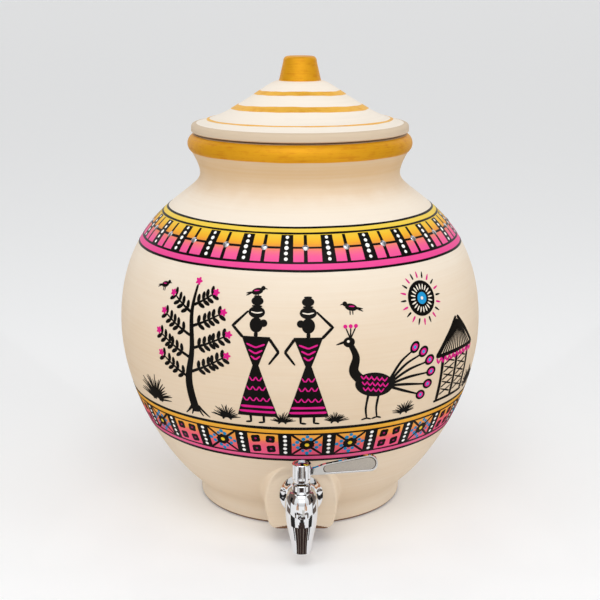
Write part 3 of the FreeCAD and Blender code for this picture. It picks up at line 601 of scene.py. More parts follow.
def bare_clay(paint):
    """Fired terracotta, turned on the wheel and left bare: dull, brown, grainy, with throwing rings."""
    name = "bare_fired_clay"
    if name in bpy.data.materials:
        return bpy.data.materials[name]
    material = new_material(name)
    grain = noise(material, 900.0, 5.0)
    rings = noise(material, 1.0, 3.0, (6.0, 6.0, 300.0))
    return shade(
        material, Base_Color=varied(material, grain, (0.3, shaded(paint.clay, 0.8)), (0.7, paint.clay)),
        Roughness=0.9, Normal=relief(material, 0.6, 0.4 * MM, rings, grain))


def gold_paint(name, tint):
    """Metallic gold acrylic laid on by brush: an even deep yellow with a satin sheen and fine level strokes."""
    material = new_material(name)
    streaks = noise(material, 1.0, 5.0, (38.0, 38.0, 1500.0))
    flow = noise(material, 140.0, stretch=(1.0, 1.0, 2.0))
    both = add(material, "Math", {0: streaks, 1: flow}, operation="ADD").outputs[0]
    dark = tuple(channel * share for channel, share in zip(tint, (0.9, 0.78, 0.5)))
    return shade(
        material, Base_Color=varied(material, both, (0.75, dark), (1.15, tint)), Metallic=0.3,
        Roughness=add(material, "MapRange", {"Value": streaks, "To Min": 0.38, "To Max": 0.56}).outputs[0],
        Specular_IOR_Level=0.25, Normal=relief(material, 0.8, 0.2 * MM, both))


def enamel(name, tint, rough=0.42):
    """Poster enamel laid on by a small brush: flat opaque colour with a slight sheen."""
    material = new_material(name)
    strokes = relief(material, 0.25, 0.1 * MM, noise(material, 420.0, 3.0))
    return shade(material, Base_Color=tint, Roughness=rough, IOR=1.3, Specular_IOR_Level=0.2, Normal=strokes)


def ombre(name, stops):
    """Poster paint blended wet from one colour to the next up the pot, its stops placed by height in millimetres."""
    material = new_material("blended_poster_paint_" + name)
    tints = by_height(material, [(level, linear(code)) for level, code in stops], 0.9 * MM)
    return shade(material, Base_Color=tints, Roughness=0.45, Specular_IOR_Level=0.2)


def grained(name, code, metallic, rough, grain):
    """A finish with a fine grain, its size in millimetres: the same noise shades colour, gloss and relief."""
    material, tint = new_material(name), linear(code)
    speck = noise(material, 1 / (grain * MM), 2.0)
    gloss = add(material, "MapRange", {"Value": speck, "To Min": rough - 0.07, "To Max": rough + 0.07}).outputs[0]
    return shade(
        material, Base_Color=varied(material, speck, (0.35, shaded(tint, 0.86)), (0.65, tint)), Metallic=metallic,
        Roughness=gloss, Normal=relief(material, 0.3, 0.05 * MM, speck))


def dress(material, *nodes):
    """The material in every slot of the CAD nodes."""
    for node in nodes:
        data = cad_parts[node].data
        if not data.materials:
            data.materials.append(material)
        for place in range(len(data.materials)):
            data.materials[place] = material


# ---------------------------------------------------------------- the clay pieces
# Height on the pot in millimetres, and the share of the thick cream there, from 0 to 1: painted shade, low in the
# hollow of the neck under the rim and down the flank.
PAINTED_SHADE_BY_HEIGHT = [
    (0, 0.56), (8, 0.64), (16, 0.54), (26, 0.46), (40, 0.53), (64, 0.55), (104, 0.43), (128, 0.41), (150, 0.46),
    (176, 0.57), (200, 0.67), (214, 0.78), (238, 0.95), (256, 1.0), (262, 0.86), (266, 0.66), (270, 0.40), (276, 0.2),
    (284, 0.03), (288, 0.05), (296, 0.2)]


class POT_OT_body(Operator):
    """Build the pot: a thrown body with its foot, rolled rim and the flat pad for the tap"""
    bl_idname = "object.water_pot_body"
    bl_label = "Pot body"

    def execute(self, context):
        size, _, _, paint = ready(context)
        foot, flank, shoulder, flare, rim = pot_outside(size)
        near_pad = flank[:, 1] < 78 * MM
        outside = run(
            foot[:FOOT_EDGE_POINTS], spaced(foot[FOOT_EDGE_POINTS - 1:], 0.6 * MM), spaced(flank[near_pad], MM),
            spaced(flank[~near_pad], 3 * MM), spaced(shoulder, 3 * MM), spaced(flare, 3 * MM), spaced(rim, 0.9 * MM))
        lip_middle = (size.neck_radius - size.wall + LIP_EDGE, size.rim_height - LIP_EDGE)
        lip = arc(lip_middle, LIP_EDGE, 90, 180, LIP_POINTS)
        neck, shoulder, flank, sweep = pot_inside(size)
        low = flank[:, 1] < 66 * MM
        inside = run(
            spaced(neck, 8 * MM), spaced(shoulder, 6 * MM), spaced(flank[~low], 6 * MM),
            spaced(flank[low], 1.5 * MM), sweep)
        angles = round_angles()
        points = np.vstack([turned(radius, height, angles) for radius, height in (
            (0.0, [0.0]), (clay_radius(size, *outside.T, angles), outside[:, 1]), (lip[:, :1], lip[:, 1]),
            (seat_radius(size, *inside.T, angles), inside[:, 1]), (0.0, [size.floor]))])
        # Slot 0 is cream, slot 1 bare clay: on the foot's edge, under the pad, where it is partly painted shade, and
        # from inside the lip on.
        slots = np.ones((len(points) - 1, len(angles)))
        slots[FOOT_EDGE_POINTS - 1:len(outside) + LIP_POINTS - 2] = 0
        # The bare clay strip under the pad is partly painted shade for the shadow under the pad's lower edge: 5.2 mm
        # tall in the middle, it thins out towards the pad's cheeks.
        level, away = np.concatenate([[0.0], outside[:, 1]])[:, None], np.abs(angles)
        shade_strip_top = size.pad_foot + 5.2 * MM - 310 * MM * away ** 2.6
        under = (level > size.pad_foot - 0.1 * MM) & (level < shade_strip_top) & (away < math.radians(16))
        slots[:len(level)][under] = 1
        # The cream darkens by height as painted shade, in the neck's hollow under the rim and down the flank.
        cream = emulsion("matt_emulsion_on_clay", paint.body, paint.thin, PAINTED_SHADE_BY_HEIGHT)
        piece = make_piece(
            "thrown_pot", points, quads_of(len(points), len(angles), True), [cream, bare_clay(paint)],
            slots=slots.ravel())
        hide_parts("pot_body")
        return {"FINISHED"}


def dome_line(size, rim):
    """Foot and top of the lid's dome as (radius, height), and the unit direction up it."""
    foot = np.array((size.dome_foot, rim + size.dome_rise))
    top = np.array((size.knob_base, rim + size.knob_rise))
    return foot, top, (top - foot) / np.linalg.norm(top - foot)


def lid_section(size, rim):
    """Outside of the lid as (radius, height), from its lower corner up over brim and dome to the knob's middle."""
    corner, side = (size.radius, rim + 2.0 * MM), (size.radius, rim + size.side)
    edge_end = np.array((size.radius - 4.2 * MM, rim + size.edge_rise))
    dome_foot, dome_top, up_dome = dome_line(size, rim)
    brim_end = dome_foot + (edge_end - dome_foot) / np.linalg.norm(edge_end - dome_foot) * 7 * MM
    dome_start = dome_foot + up_dome * 7 * MM
    dome = [dome_start, dome_start + 0.7 * (dome_top - dome_start), dome_top + (7.6 * MM, -0.6 * MM), dome_top]
    top, round_off = rim + size.knob_rise + size.knob_height, 4.4 * MM
    knob_side, knob_end = (size.knob_top, top - round_off), (size.knob_top - round_off, top)
    return (
        bezier([(size.radius - 4.4 * MM, rim), (size.radius - 0.7 * MM, rim + 0.9 * MM), corner], 8),
        spaced([corner, side], MM),
        bezier([side, (size.radius, rim + size.edge_rise), edge_end], 10),
        spaced([edge_end, brim_end], 3 * MM),
        bezier([brim_end, dome_foot, dome_start], 8),
        spaced(bezier(dome), 3 * MM),
        spaced([dome_top, knob_side], 1.5 * MM),
        bezier([knob_side, (size.knob_top, top), knob_end], 10),
        np.array([(5 * MM, top), (0.0, top)]))


def lid_underside(size, rim, mouth):
    """Underside of the lid as (radius, height), from the ceiling's middle down the hollow and out under the brim."""
    spigot, foot, edge = mouth - 1.5 * MM, rim - 10 * MM, 1.5 * MM
    hollow = spigot - size.wall
    dome_foot, dome_top, up_dome = dome_line(size, rim)
    down = -size.wall * np.abs(up_dome[::-1])
    top, start = dome_top + down, dome_foot + down
    slope = (start[1] - top[1]) / (start[0] - top[0])
    roof_edge = np.array((hollow, top[1] + slope * (hollow - top[0])))
    roof_start = roof_edge + up_dome * 7 * MM
    return run(
        [(0.0, top[1])], spaced([top, roof_start], 5 * MM),
        bezier([roof_start, roof_edge, above(roof_edge, -7 * MM)], 8),
        [(hollow, foot + edge), (hollow + edge, foot), (spigot - edge, foot), (spigot, foot + edge), (spigot, rim)])


class POT_OT_lid(Operator):
    """Build the lid: brim, dome and knob, with the ring under it that drops into the mouth"""
    bl_idname = "object.water_pot_lid"
    bl_label = "Lid"

    def execute(self, context):
        pot, size, _, paint = ready(context)
        rim = pot.rim_height
        under = lid_underside(size, rim, pot.neck_radius - pot.wall)
        section = run(under, *lid_section(size, rim))
        angles = np.linspace(-math.pi, math.pi, 240, endpoint=False)
        # Slot 0 is cream, slot 1 bare clay up to the edge's lower corner, slot 2 a darker cream on the edge, painted
        # shade for the lid's side.
        level = section[1:, 1]
        slots = np.where(level < rim + size.edge_rise + 0.3 * MM, 2, 0)
        # The bare clay on the lower corner's chamfer is partly painted shade: its dark brown deepens the shadow line
        # between lid and rim.
        slots[(np.arange(len(level)) < len(under) - 1) | (level < rim + 1.2 * MM)] = 1
        # The edge's darker cream is painted shade for the lid's side.
        cream, thin = emulsion("matt_emulsion_on_lid", paint.lid), emulsion("thin_emulsion_on_lid_edge", paint.edge)
        piece = make_piece(
            "thrown_lid", turned(section[:, :1], section[:, 1], angles), quads_of(len(section), len(angles), True),
            [cream, bare_clay(paint), thin], "lid", slots=np.repeat(slots, len(angles)))
        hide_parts("lid")
        return {"FINISHED"}


# ---------------------------------------------------------------- gold and bands
def pot_skin(size):
    _, *parts, rim = pot_outside(size)
    return Skin(run(*[spaced(part, MM) for part in parts], spaced(rim, 0.5 * MM)))


# Heights of the gold on the rim, and the radius where the knob's gold starts.
GOLD_RIM, KNOB_GOLD = (294.4 * MM, 307.3 * MM), 17.2 * MM
# Outer and inner radius of each gold ring on the lid, and how far it sags, in millimetres.
LID_RINGS = [(73.7, 71.5, 2.2), (53.6, 47.6, 2.8), (35.6, 31.2, 1.8)]


class POT_OT_gold(Operator):
    """Paint the gold: the rolled rim, the rings on the lid and the knob"""
    bl_idname = "object.water_pot_gold"
    bl_label = "Gold lines"

    def execute(self, context):
        pot, lid, _, paint = ready(context)
        gold = gold_paint("brushed_gold_acrylic", paint.gold)
        rim = Layer(pot_skin(pot), GROUND)
        rim.ring(*(rim.skin.along_at(height) for height in GOLD_RIM), 11, 0.3 * MM, 360, 22)
        rim.finish("gold_rim", gold)
        skin = Skin(run(*[spaced(part, 0.6 * MM) for part in lid_section(lid, pot.rim_height)]))
        rings, knob = Layer(skin, GROUND), Layer(skin, GROUND)
        for seed, (outer, inner, sag) in enumerate(LID_RINGS):
            places = [skin.along_out(radius * MM) for radius in (outer, inner)]
            rings.ring(*places, 20 + 3 * seed, 0.35 * MM, 300, 5, sag * MM)
        rings.finish("gold_lid_rings", gold_paint("brushed_pale_gold_acrylic", paint.pale_gold), "lid")
        knob.ring(skin.along_out(KNOB_GOLD), skin.along[-1] - 0.001 * MM, 31, 0.0, 160, 34)
        knob.finish("gold_knob", gold, "lid")
        return {"FINISHED"}


# Angle of the first bar or panel, and height of the middle, of each band. The stones' height comes last.
UPPER_START, UPPER_MIDDLE = math.radians(-5.09), 236.3 * MM
LOWER_START, LOWER_MIDDLE = math.radians(1.75), 88.3 * MM
STONE_HEIGHT = 236.5 * MM
# Colours up each band's ground by height in millimetres, and up the flower panels.
GROUNDS = {
    "upper": [
        (221.0, "EF4394"), (226.2, "F04C97"), (227.4, "F25299"), (231.0, "F45C96"), (234.0, "F27482"),
        (236.2, "F08A5C"), (237.6, "EC9636"), (239.4, "F2AC26"), (242.0, "F4BE2A"), (244.6, "F0C838"),
        (246.2, "F2CE44"), (249.4, "F2D458")],
    "lower": [
        (73.2, "E4568C"), (77.6, "E85C8E"), (79.0, "EE5483"), (84.0, "F05E6E"), (88.5, "F07056"),
        (92.0, "F29444"), (97.5, "F4AE40"), (99.2, "EDA52B"), (103.6, "F3BC44")],
    "flower": [
        (78.0, "F0548A"), (84.0, "F25A7E"), (88.0, "F46472"), (90.6, "F47660"), (92.2, "F4983E"),
        (98.6, "F6B03A")]}
BLACK_LINES = [
    (248.5, 249.7), (244.9, 246.1), (235.8, 237.2), (226.0, 227.4), (220.6, 222.2),
    (102.0, 104.2), (97.4, 98.8), (77.6, 79.1), (72.8, 74.8)]


def half_way(band):
    """How far round a thin line stands from the bar before it: half a panel, less a little."""
    return math.pi / band.upper - 0.011


class POT_OT_bands(Operator):
    """Paint the two bands: blended grounds, black lines and bars, dots, flowers and glued stones"""
    bl_idname = "object.water_pot_bands"
    bl_label = "Patterned bands"

    def execute(self, context):
        pot, _, band, paint = ready(context)
        skin = pot_skin(pot)

        def stripe(layer, low, high, *drawing):
            layer.ring(skin.along_at(low * MM), skin.along_at(high * MM), *drawing)

        for name in ("upper", "lower"):
            ground = Layer(skin, GROUND)
            stripe(ground, GROUNDS[name][0][0], GROUNDS[name][-1][0], 35, 0.1 * MM, 360, 14)
            ground.finish(name + "_band_ground", ombre(name, GROUNDS[name]))
        flower, ink = Layer(skin, (GROUND + LINES) / 2), Layer(skin, LINES)
        white, yellow, magenta, blue = (Layer(skin, OVER) for _ in range(4))
        for seed, (low, high) in enumerate(BLACK_LINES):
            stripe(ink, low, high, 40 + 2 * seed, 0.16 * MM, 420)
        rng = np.random.default_rng(5)
        for place in range(band.upper):
            self.upper_cell(ink, white, UPPER_START + place * (2 * math.pi / band.upper), band, rng)
        for place in range(band.lower):
            star = place == 0 or place % 2 == (1 if place < 14 else 0)
            centre = LOWER_START + place * (2 * math.pi / band.lower)
            brushes = [Brush(layer, centre, LOWER_MIDDLE) for layer in (ink, white, yellow, magenta, blue, flower)]
            self.lower_cell(star, brushes, band, rng)
        flower.finish("flower_panel_ground", ombre("flower", GROUNDS["flower"]))
        white.finish("white_dots", enamel("white_dot_enamel", paint.white))
        yellow.finish("yellow_hearts", enamel("yellow_enamel", paint.yellow))
        magenta.finish("pink_hearts", enamel("plum_enamel", shaded(paint.magenta, 0.55)))
        blue.finish("blue_dots", enamel("blue_enamel", shaded(paint.blue, 0.8)))
        ink.finish("black_band_lines", enamel("black_enamel", paint.black, 0.36))
        self.stones(skin, band)
        return {"FINISHED"}

    def upper_cell(self, ink, white, angle, band, rng):
        """One black bar with its column of dots, and the thin upright line half a cell to the right."""
        pen, dots = (Brush(layer, angle, UPPER_MIDDLE) for layer in (ink, white))
        half, side = band.bar / MM / 2, band.line / MM / 2
        low, high = -11.9, 11.4
        lean = rng.uniform(-0.25, 0.25)
        pen.patch((-half * 1.06 + lean, low), (half * 1.06 + lean, low), (half * 0.97, high), (-half * 0.97, high))
        for row in range(-2, 3):
            reach = band.dot / MM * (1.08 - 0.11 * abs(row)) * rng.uniform(0.94, 1.06)
            dots.spot(rng.uniform(-0.2, 0.2), row * 4.6, reach, reach * 1.06)
        thin = Brush(ink, angle + half_way(band), UPPER_MIDDLE)
        thin.patch((-side, low), (side, low), (side * 0.9, high), (-side * 0.9, high))

    def lower_cell(self, star, brushes, band, rng):
        """One panel of the lower band with its star or flowers, and the dotted bar half a cell to the right."""
        ink, white, yellow, magenta, blue, flower = brushes
        half_cell = math.pi / band.lower * ink.radius / MM
        low, high, tall = -10.3, 10.3, 9.8
        bar = band.bar / MM * 1.04 / 2
        left, right, width = half_cell - bar, half_cell + bar, half_cell - bar
        ink.patch((left, low), (right, low), (right, high), (left, high))
        for row in range(-2, 3):
            white.spot(half_cell + rng.uniform(-0.2, 0.2), row * 4.0, 1.45 * rng.uniform(0.93, 1.05), 1.32)
        if star:
            for turn in (1, -1):
                ink.stroke([(-width, -tall * turn), (0, 0), (width, tall * turn)], 1.8, bend=False)
            ink.spot(0, 0, 6.0, 4.9, sides=40, petals=10, depth=0.12, turn=rng.uniform(0, 0.6))
            yellow.spot(0, 0, 1.7, 1.6)
            ring = [(7.6 * math.cos(turn), 6.3 * math.sin(turn)) for turn in np.radians(np.arange(8) * 45 + 22.5)]
            for x, y in ring + [(10.2, 0.0), (-10.2, 0.0), (0.0, 8.2), (0.0, -8.2)]:
                blue.spot(x + rng.uniform(-0.3, 0.3), y + rng.uniform(-0.3, 0.3), 1.5 * rng.uniform(0.9, 1.1))
            return
        flower.patch((-width - 1, low), (width + 1, low), (width + 1, high), (-width - 1, high))
        for x in (-5.6, 5.6):
            for y in (-4.9, 4.9):
                ink.spot(x, y, 4.3, 4.0, sides=36, petals=4, depth=0.2, turn=math.pi / 4 + rng.uniform(-0.15, 0.15))
                magenta.spot(x, y, 0.9, 0.8)

    def stones(self, skin, band):
        """Small domed stones: rings whose lift falls from the crown as a circle's arc does."""
        points, quads = [], []
        share = np.array([0.0, 0.35, 0.6, 0.8, 0.92, 1.0, 1.0, 0.0])[:, None]
        lift = np.array([1.0, 0.93, 0.78, 0.55, 0.3, 0.05, -0.15, -0.15])[:, None] * 0.9 * MM
        phi = np.linspace(0, 2 * math.pi, 16, endpoint=False)
        along = skin.along_at(STONE_HEIGHT)
        radius = np.interp(along, skin.along, skin.radius)
        for place in range(band.upper):
            angle = UPPER_START + place * 2 * math.pi / band.upper + half_way(band)
            turn = angle + band.stone * (share * np.cos(phi)) / radius
            rise = along + band.stone * (share * np.sin(phi))
            points.append(skin.at(turn, rise, lift)[::-1].reshape(-1, 3))
            quads.append(quads_of(len(share), 16, True) + place * turn.size)
        # Silvered glass: a clear dome over foil, which looks like bright grey metal with a small highlight.
        glass = shade(
            new_material("silvered_glass_stone"), Base_Color=linear("C6C9CF"), Metallic=0.85, Roughness=0.22)
        make_piece("glass_stones", np.vstack(points), np.vstack(quads), [glass], sharp=28)


# ---------------------------------------------------------------- the painted scene
def woman(ink, trim, pale, lean):
    """A woman with two pots on her head: triangles for skirt and bodice, brush lines for arms and feet."""
    ink.patch((-15.5, 0), (15.5, 0), (2.0, 42), (-2.0, 42))
    ink.patch((-2.0, 41), (2.0, 41), (10.5, 63), (-10.5, 63))
    ink.stroke([(0, 62), (0, 67)], 2.8)
    ink.spot(0, 71.5, 4.8, 5.6, sides=22)
    ink.spot(-lean * 5.4, 73.0, 2.8)
    ink.spot(0, 80.8, 6.2, 4.3, sides=22)
    ink.stroke([(-3.8, 85.2), (3.8, 85.2)], 1.4)
    ink.spot(0, 88.9, 4.6, 3.3, sides=20)
    ink.stroke([(-2.9, 92.3), (2.9, 92.3)], 1.3)
    ink.stroke([(lean * 9.6, 62), (lean * 17.5, 70), (lean * 6.2, 81.5)], 2.4, 1.6, bend=False)
    ink.stroke([(-lean * 9.6, 62), (-lean * 16.5, 52), (-lean * 9.5, 42.5)], 2.4, 1.6, bend=False)
    for foot in (-5.5, 4.5):
        ink.stroke([(foot, 1), (foot, -5.2), (foot + lean * 4.2, -5.8)], 2.0, 1.5, bend=False)
    for level in (4.0, 8.2):
        half = 15.0 - 13.5 * level / 42
        trim.stroke([(-half, level), (half, level)], 1.9)
    for level in (14.5, 23.5, 31.0):
        half = 14.6 - 13.5 * level / 42
        edges = np.linspace(-half, half, max(2, int(half / 2.0)) + 1)
        for left, right in zip(edges[:-1], edges[1:]):
            trim.stroke([(left, level + 1.6), ((left + right) / 2, level - 1.6), (right, level + 1.6)], 1.0)
    for level in (47.0, 51.5, 56.0):
        half = 1.2 + 8.0 * (level - 41) / 22
        trim.stroke([(-half, level + 1.5), (0, level - 1.2), (half, level + 1.5)], 1.3, bend=False)
    pale.stroke([(-4.2, 81.0), (0, 80.2), (4.2, 81.0)], 0.9)


def bird(ink, trim, x, y, size, face):
    """A small bird: an oval body, a round head, a beak, a forked tail and two thin legs."""
    ink.spot(x, y, 5.6 * size, 3.1 * size, sides=20, turn=face * 0.25)
    ink.spot(x + face * 5.4 * size, y + 3.2 * size, 2.1 * size)
    ink.stroke([(x + face * 6.4 * size, y + 3.2 * size), (x + face * 9.6 * size, y + 2.4 * size)], 1.3 * size, 0.4)
    for drop in (2.1, 4.3):
        ink.stroke([(x - face * 4 * size, y - 0.6), (x - face * 10.5 * size, y - drop * size)], 1.9 * size, 0.8)
    for leg in (-1.2, 1.2):
        ink.stroke([(x + leg * size, y - 2.4 * size), (x + leg * size, y - 6.6 * size)], 0.9)
    trim.stroke([(x - face * 3 * size, y + 0.4), (x + face * 2 * size, y + 1.0 * size)], 1.3 * size, 0.6)


def tree(ink, trim):
    """A tree: a tapering trunk, curved branches set with pairs of leaves, and round blossoms at their ends."""
    ink.stroke([(0, -4), (-2.5, 22), (1.5, 48), (-0.5, 76), (1.0, 97)], 7.5, 1.8)
    for x in (-11, -5, 6, 12):
        ink.stroke([(x * 0.2, 2), (x * 0.6, -3), (x, -7)], 2.8, 0.9)
    branches = [
        (24, -1, 27, 14), (30, 1, 28, 15), (41, -1, 30, 14), (48, 1, 29, 13), (58, -1, 26, 13), (65, 1, 24, 12),
        (75, -1, 19, 11), (81, 1, 16, 10)]
    for level, side, reach, rise in branches:
        line = smooth(np.array([(0, level), (side * reach * 0.5, level + rise * 0.45), (side * reach, level + rise)]))
        ink.stroke(line, 2.3, 1.0, bend=False)
        for place in np.linspace(0.28, 0.97, max(4, int(reach / 4.6))):
            x, y = line[int(place * (len(line) - 1))]
            for up in (1, -1):
                turn = math.atan2(rise, side * reach) + up * side * 1.0
                ink.spot(x + 3.6 * math.cos(turn), y + 3.6 * math.sin(turn), 3.3, 1.55, sides=12, turn=turn)
        x, y = line[-1]
        trim.spot(x + side * 2.5, y + 1.6, 3.1, sides=30, petals=5, depth=0.4)
    trim.spot(1.2, 99.5, 3.3, sides=30, petals=5, depth=0.4)


def sun(ink, trim, pale, heart):
    """A round sun: a black disc with pale spokes and a blue heart, ringed by rays."""
    ink.spot(0, 0, 13.5, sides=48, rings=3)
    for ray in range(20):
        turn = 2 * math.pi * ray / 20
        c, s = math.cos(turn), math.sin(turn)
        pale.stroke([(6.6 * c, 6.6 * s), (10.8 * c, 10.8 * s)], 1.1)
        (trim if ray % 2 else ink).stroke([(15.5 * c, 15.5 * s), (20.5 * c, 20.5 * s)], 2.0, 0.8)
    heart.spot(0, 0, 4.6, sides=24)
    pale.spot(0, 0, 1.3)


def peacock(ink, trim, pale, heart):
    """A standing peacock: an oval body, a curved neck, a crest, and a long tail of strokes ending in eyes."""
    ink.spot(0, 24, 15.5, 9.5, sides=40, rings=2, turn=-0.22)
    ink.stroke([(-9, 27), (-16.5, 36), (-15.0, 47), (-19.0, 57)], 8.5, 4.0)
    ink.spot(-20.0, 58.5, 4.3, 3.8, sides=20)
    ink.stroke([(-23, 59), (-29.5, 57)], 2.4, 0.6)
    for lean in (-3.6, 0, 3.6):
        ink.stroke([(-19.0, 61), (-18.5 + lean, 69)], 1.0)
        trim.spot(-18.5 + lean * 1.1, 70.2, 1.5)
    for leg in (-4.5, 4.0):
        ink.stroke([(leg, 17), (leg - 1, 5), (leg + 0.6, -4)], 2.0, 1.4)
        ink.stroke([(leg - 3.6, -5.2), (leg + 0.6, -4), (leg + 4.4, -5.4)], 1.4, bend=False)
    for number, turn in enumerate(np.radians([-24, -10, 4, 18, 32, 46])):
        reach = 34 + 5 * math.sin(number * 0.7)
        c, s = math.cos(turn), math.sin(turn)
        ink.stroke([(9, 22), (9 + 0.5 * reach * c, 24 + 0.62 * reach * s), (9 + reach * c, 23 + reach * s)], 2.6, 1.4)
        x, y = 9 + (reach + 3) * c, 23 + (reach + 3) * s
        ink.spot(x, y, 5.0, 4.0, sides=24, turn=turn)
        trim.spot(x, y, 3.0, 2.4, sides=18, turn=turn)
        heart.spot(x, y, 1.3, sides=12)
    for row, level in enumerate((29.0, 24.5, 20.0)):
        for x in np.arange(-9 + row, 10 - row, 4.2):
            crest, hollow = level + 1.2 - 0.22 * x, level - 1.4 - 0.22 * x
            trim.stroke([(x - 2.1, crest), (x, hollow), (x + 2.1, crest)], 1.2)
    pale.spot(-20.6, 59.2, 1.0)


def hut(ink, trim):
    """A hut: a hatched roof on three posts, walls woven in crossed strokes, and a scalloped hem under the eave."""
    for x in (-19, 0, 19):
        ink.stroke([(x, -3), (x, 35)], 3.4)
    for line in ([(-27, 35), (27, 35)], [(-27, 35), (-1, 62)], [(27, 35), (1, 62)]):
        ink.stroke(line, 3.0)
    for x in np.arange(-23, 24, 3.4):
        ink.stroke([(x, 36), (x * 0.12, 60 - abs(x) * 0.1)], 1.5, 0.9)
    for x in (-16.5, 2.5):
        for step in range(5):
            for start, end in ((x, x + 14), (x + 14, x)):
                ink.stroke([(start, 1 + 6.4 * step), (end, 6 + 6.4 * step)], 1.4, 1.0)
    for x in np.arange(-24, 25, 5.3):
        trim.stroke([(x - 2.6, 33.6), (x, 29.6), (x + 2.6, 33.6)], 1.8)
    ink.stroke([(-22, -4), (22, -4)], 2.4)


def tuft(ink, size, seed):
    """A tuft of grass: tapering strokes fanned from one root, with a curled row of seeds above."""
    rng = np.random.default_rng(seed)
    for number in range(int(14 + 8 * size)):
        turn = math.radians(12 + 156 * (number + rng.uniform(-0.3, 0.3)) / (13 + 8 * size))
        reach = size * rng.uniform(17, 25)
        c, s = math.cos(turn), math.sin(turn)
        middle = (0.5 * reach * c, 0.56 * reach * s)
        ink.stroke([(2 * c, 1.5 * s), middle, (reach * c, 0.92 * reach * s)], 2.3 * size, 0.5)
    for number in range(9):
        turn = math.radians(20 + 140 * number / 8)
        ink.spot(size * 6.0 * math.cos(turn), size * 5.0 * math.sin(turn) - 1.0, size * 1.5)


class POT_OT_picture(Operator):
    """Paint the scene on the front: a tree, two women carrying water, a peacock, a hut and the sun"""
    bl_idname = "object.water_pot_picture"
    bl_label = "Painted scene"

    def execute(self, context):
        pot, _, _, paint = ready(context)
        skin = pot_skin(pot)
        layers = ink, trim, pale, heart = [Layer(skin, high) for high in (LINES, OVER, OVER, OVER)]

        def at(place, height):
            """Brushes at a place given in millimetres round the belly and up the pot."""
            return [Brush(layer, place / 150.0, height * MM) for layer in layers]

        tree(*at(-88, 113)[:2])
        woman(*at(-34, 113)[:3], -1)
        woman(*at(5, 113)[:3], 1)
        peacock(*at(56, 113))
        hut(*at(142, 114)[:2])
        sun(*at(102, 196))
        for place, height, size, seed in (
                (-134, 109, 1.0, 3), (-60, 108, 0.55, 4), (-15, 108, 0.45, 5), (86, 108, 0.5, 6), (178, 109, 0.8, 7),
                (26, 108, 0.45, 8)):
            tuft(at(place, height)[0], size, seed)
        bird(*at(-46, 113)[:2], 11, 96, 0.8, 1)
        bird(*at(-116, 113)[:2], -6, 92, 0.75, 1)
        bird(*at(38, 196)[:2], 0, 0, 0.85, -1)
        trim.finish("magenta_touches", enamel("magenta_picture_enamel", paint.magenta))
        pale.finish("cream_touches", enamel("cream_picture_enamel", paint.body))
        heart.finish("blue_touches", enamel("blue_picture_enamel", paint.blue))
        ink.finish("black_picture", enamel("black_picture_enamel", paint.black, 0.36))
        return {"FINISHED"}


# ---------------------------------------------------------------- the tap
def chrome_plate():
    """Chrome plate over polished cast brass: mirror-bright, its reflections bent a little by the hand-buffed metal."""
    material = new_material("chrome_plated_cast_brass")
    return shade(
        material, Base_Color=linear("E6E7E9"), Metallic=1.0, Roughness=0.04,
        Normal=relief(material, 0.08, 0.3 * MM, noise(material, 110.0, 2.0)))


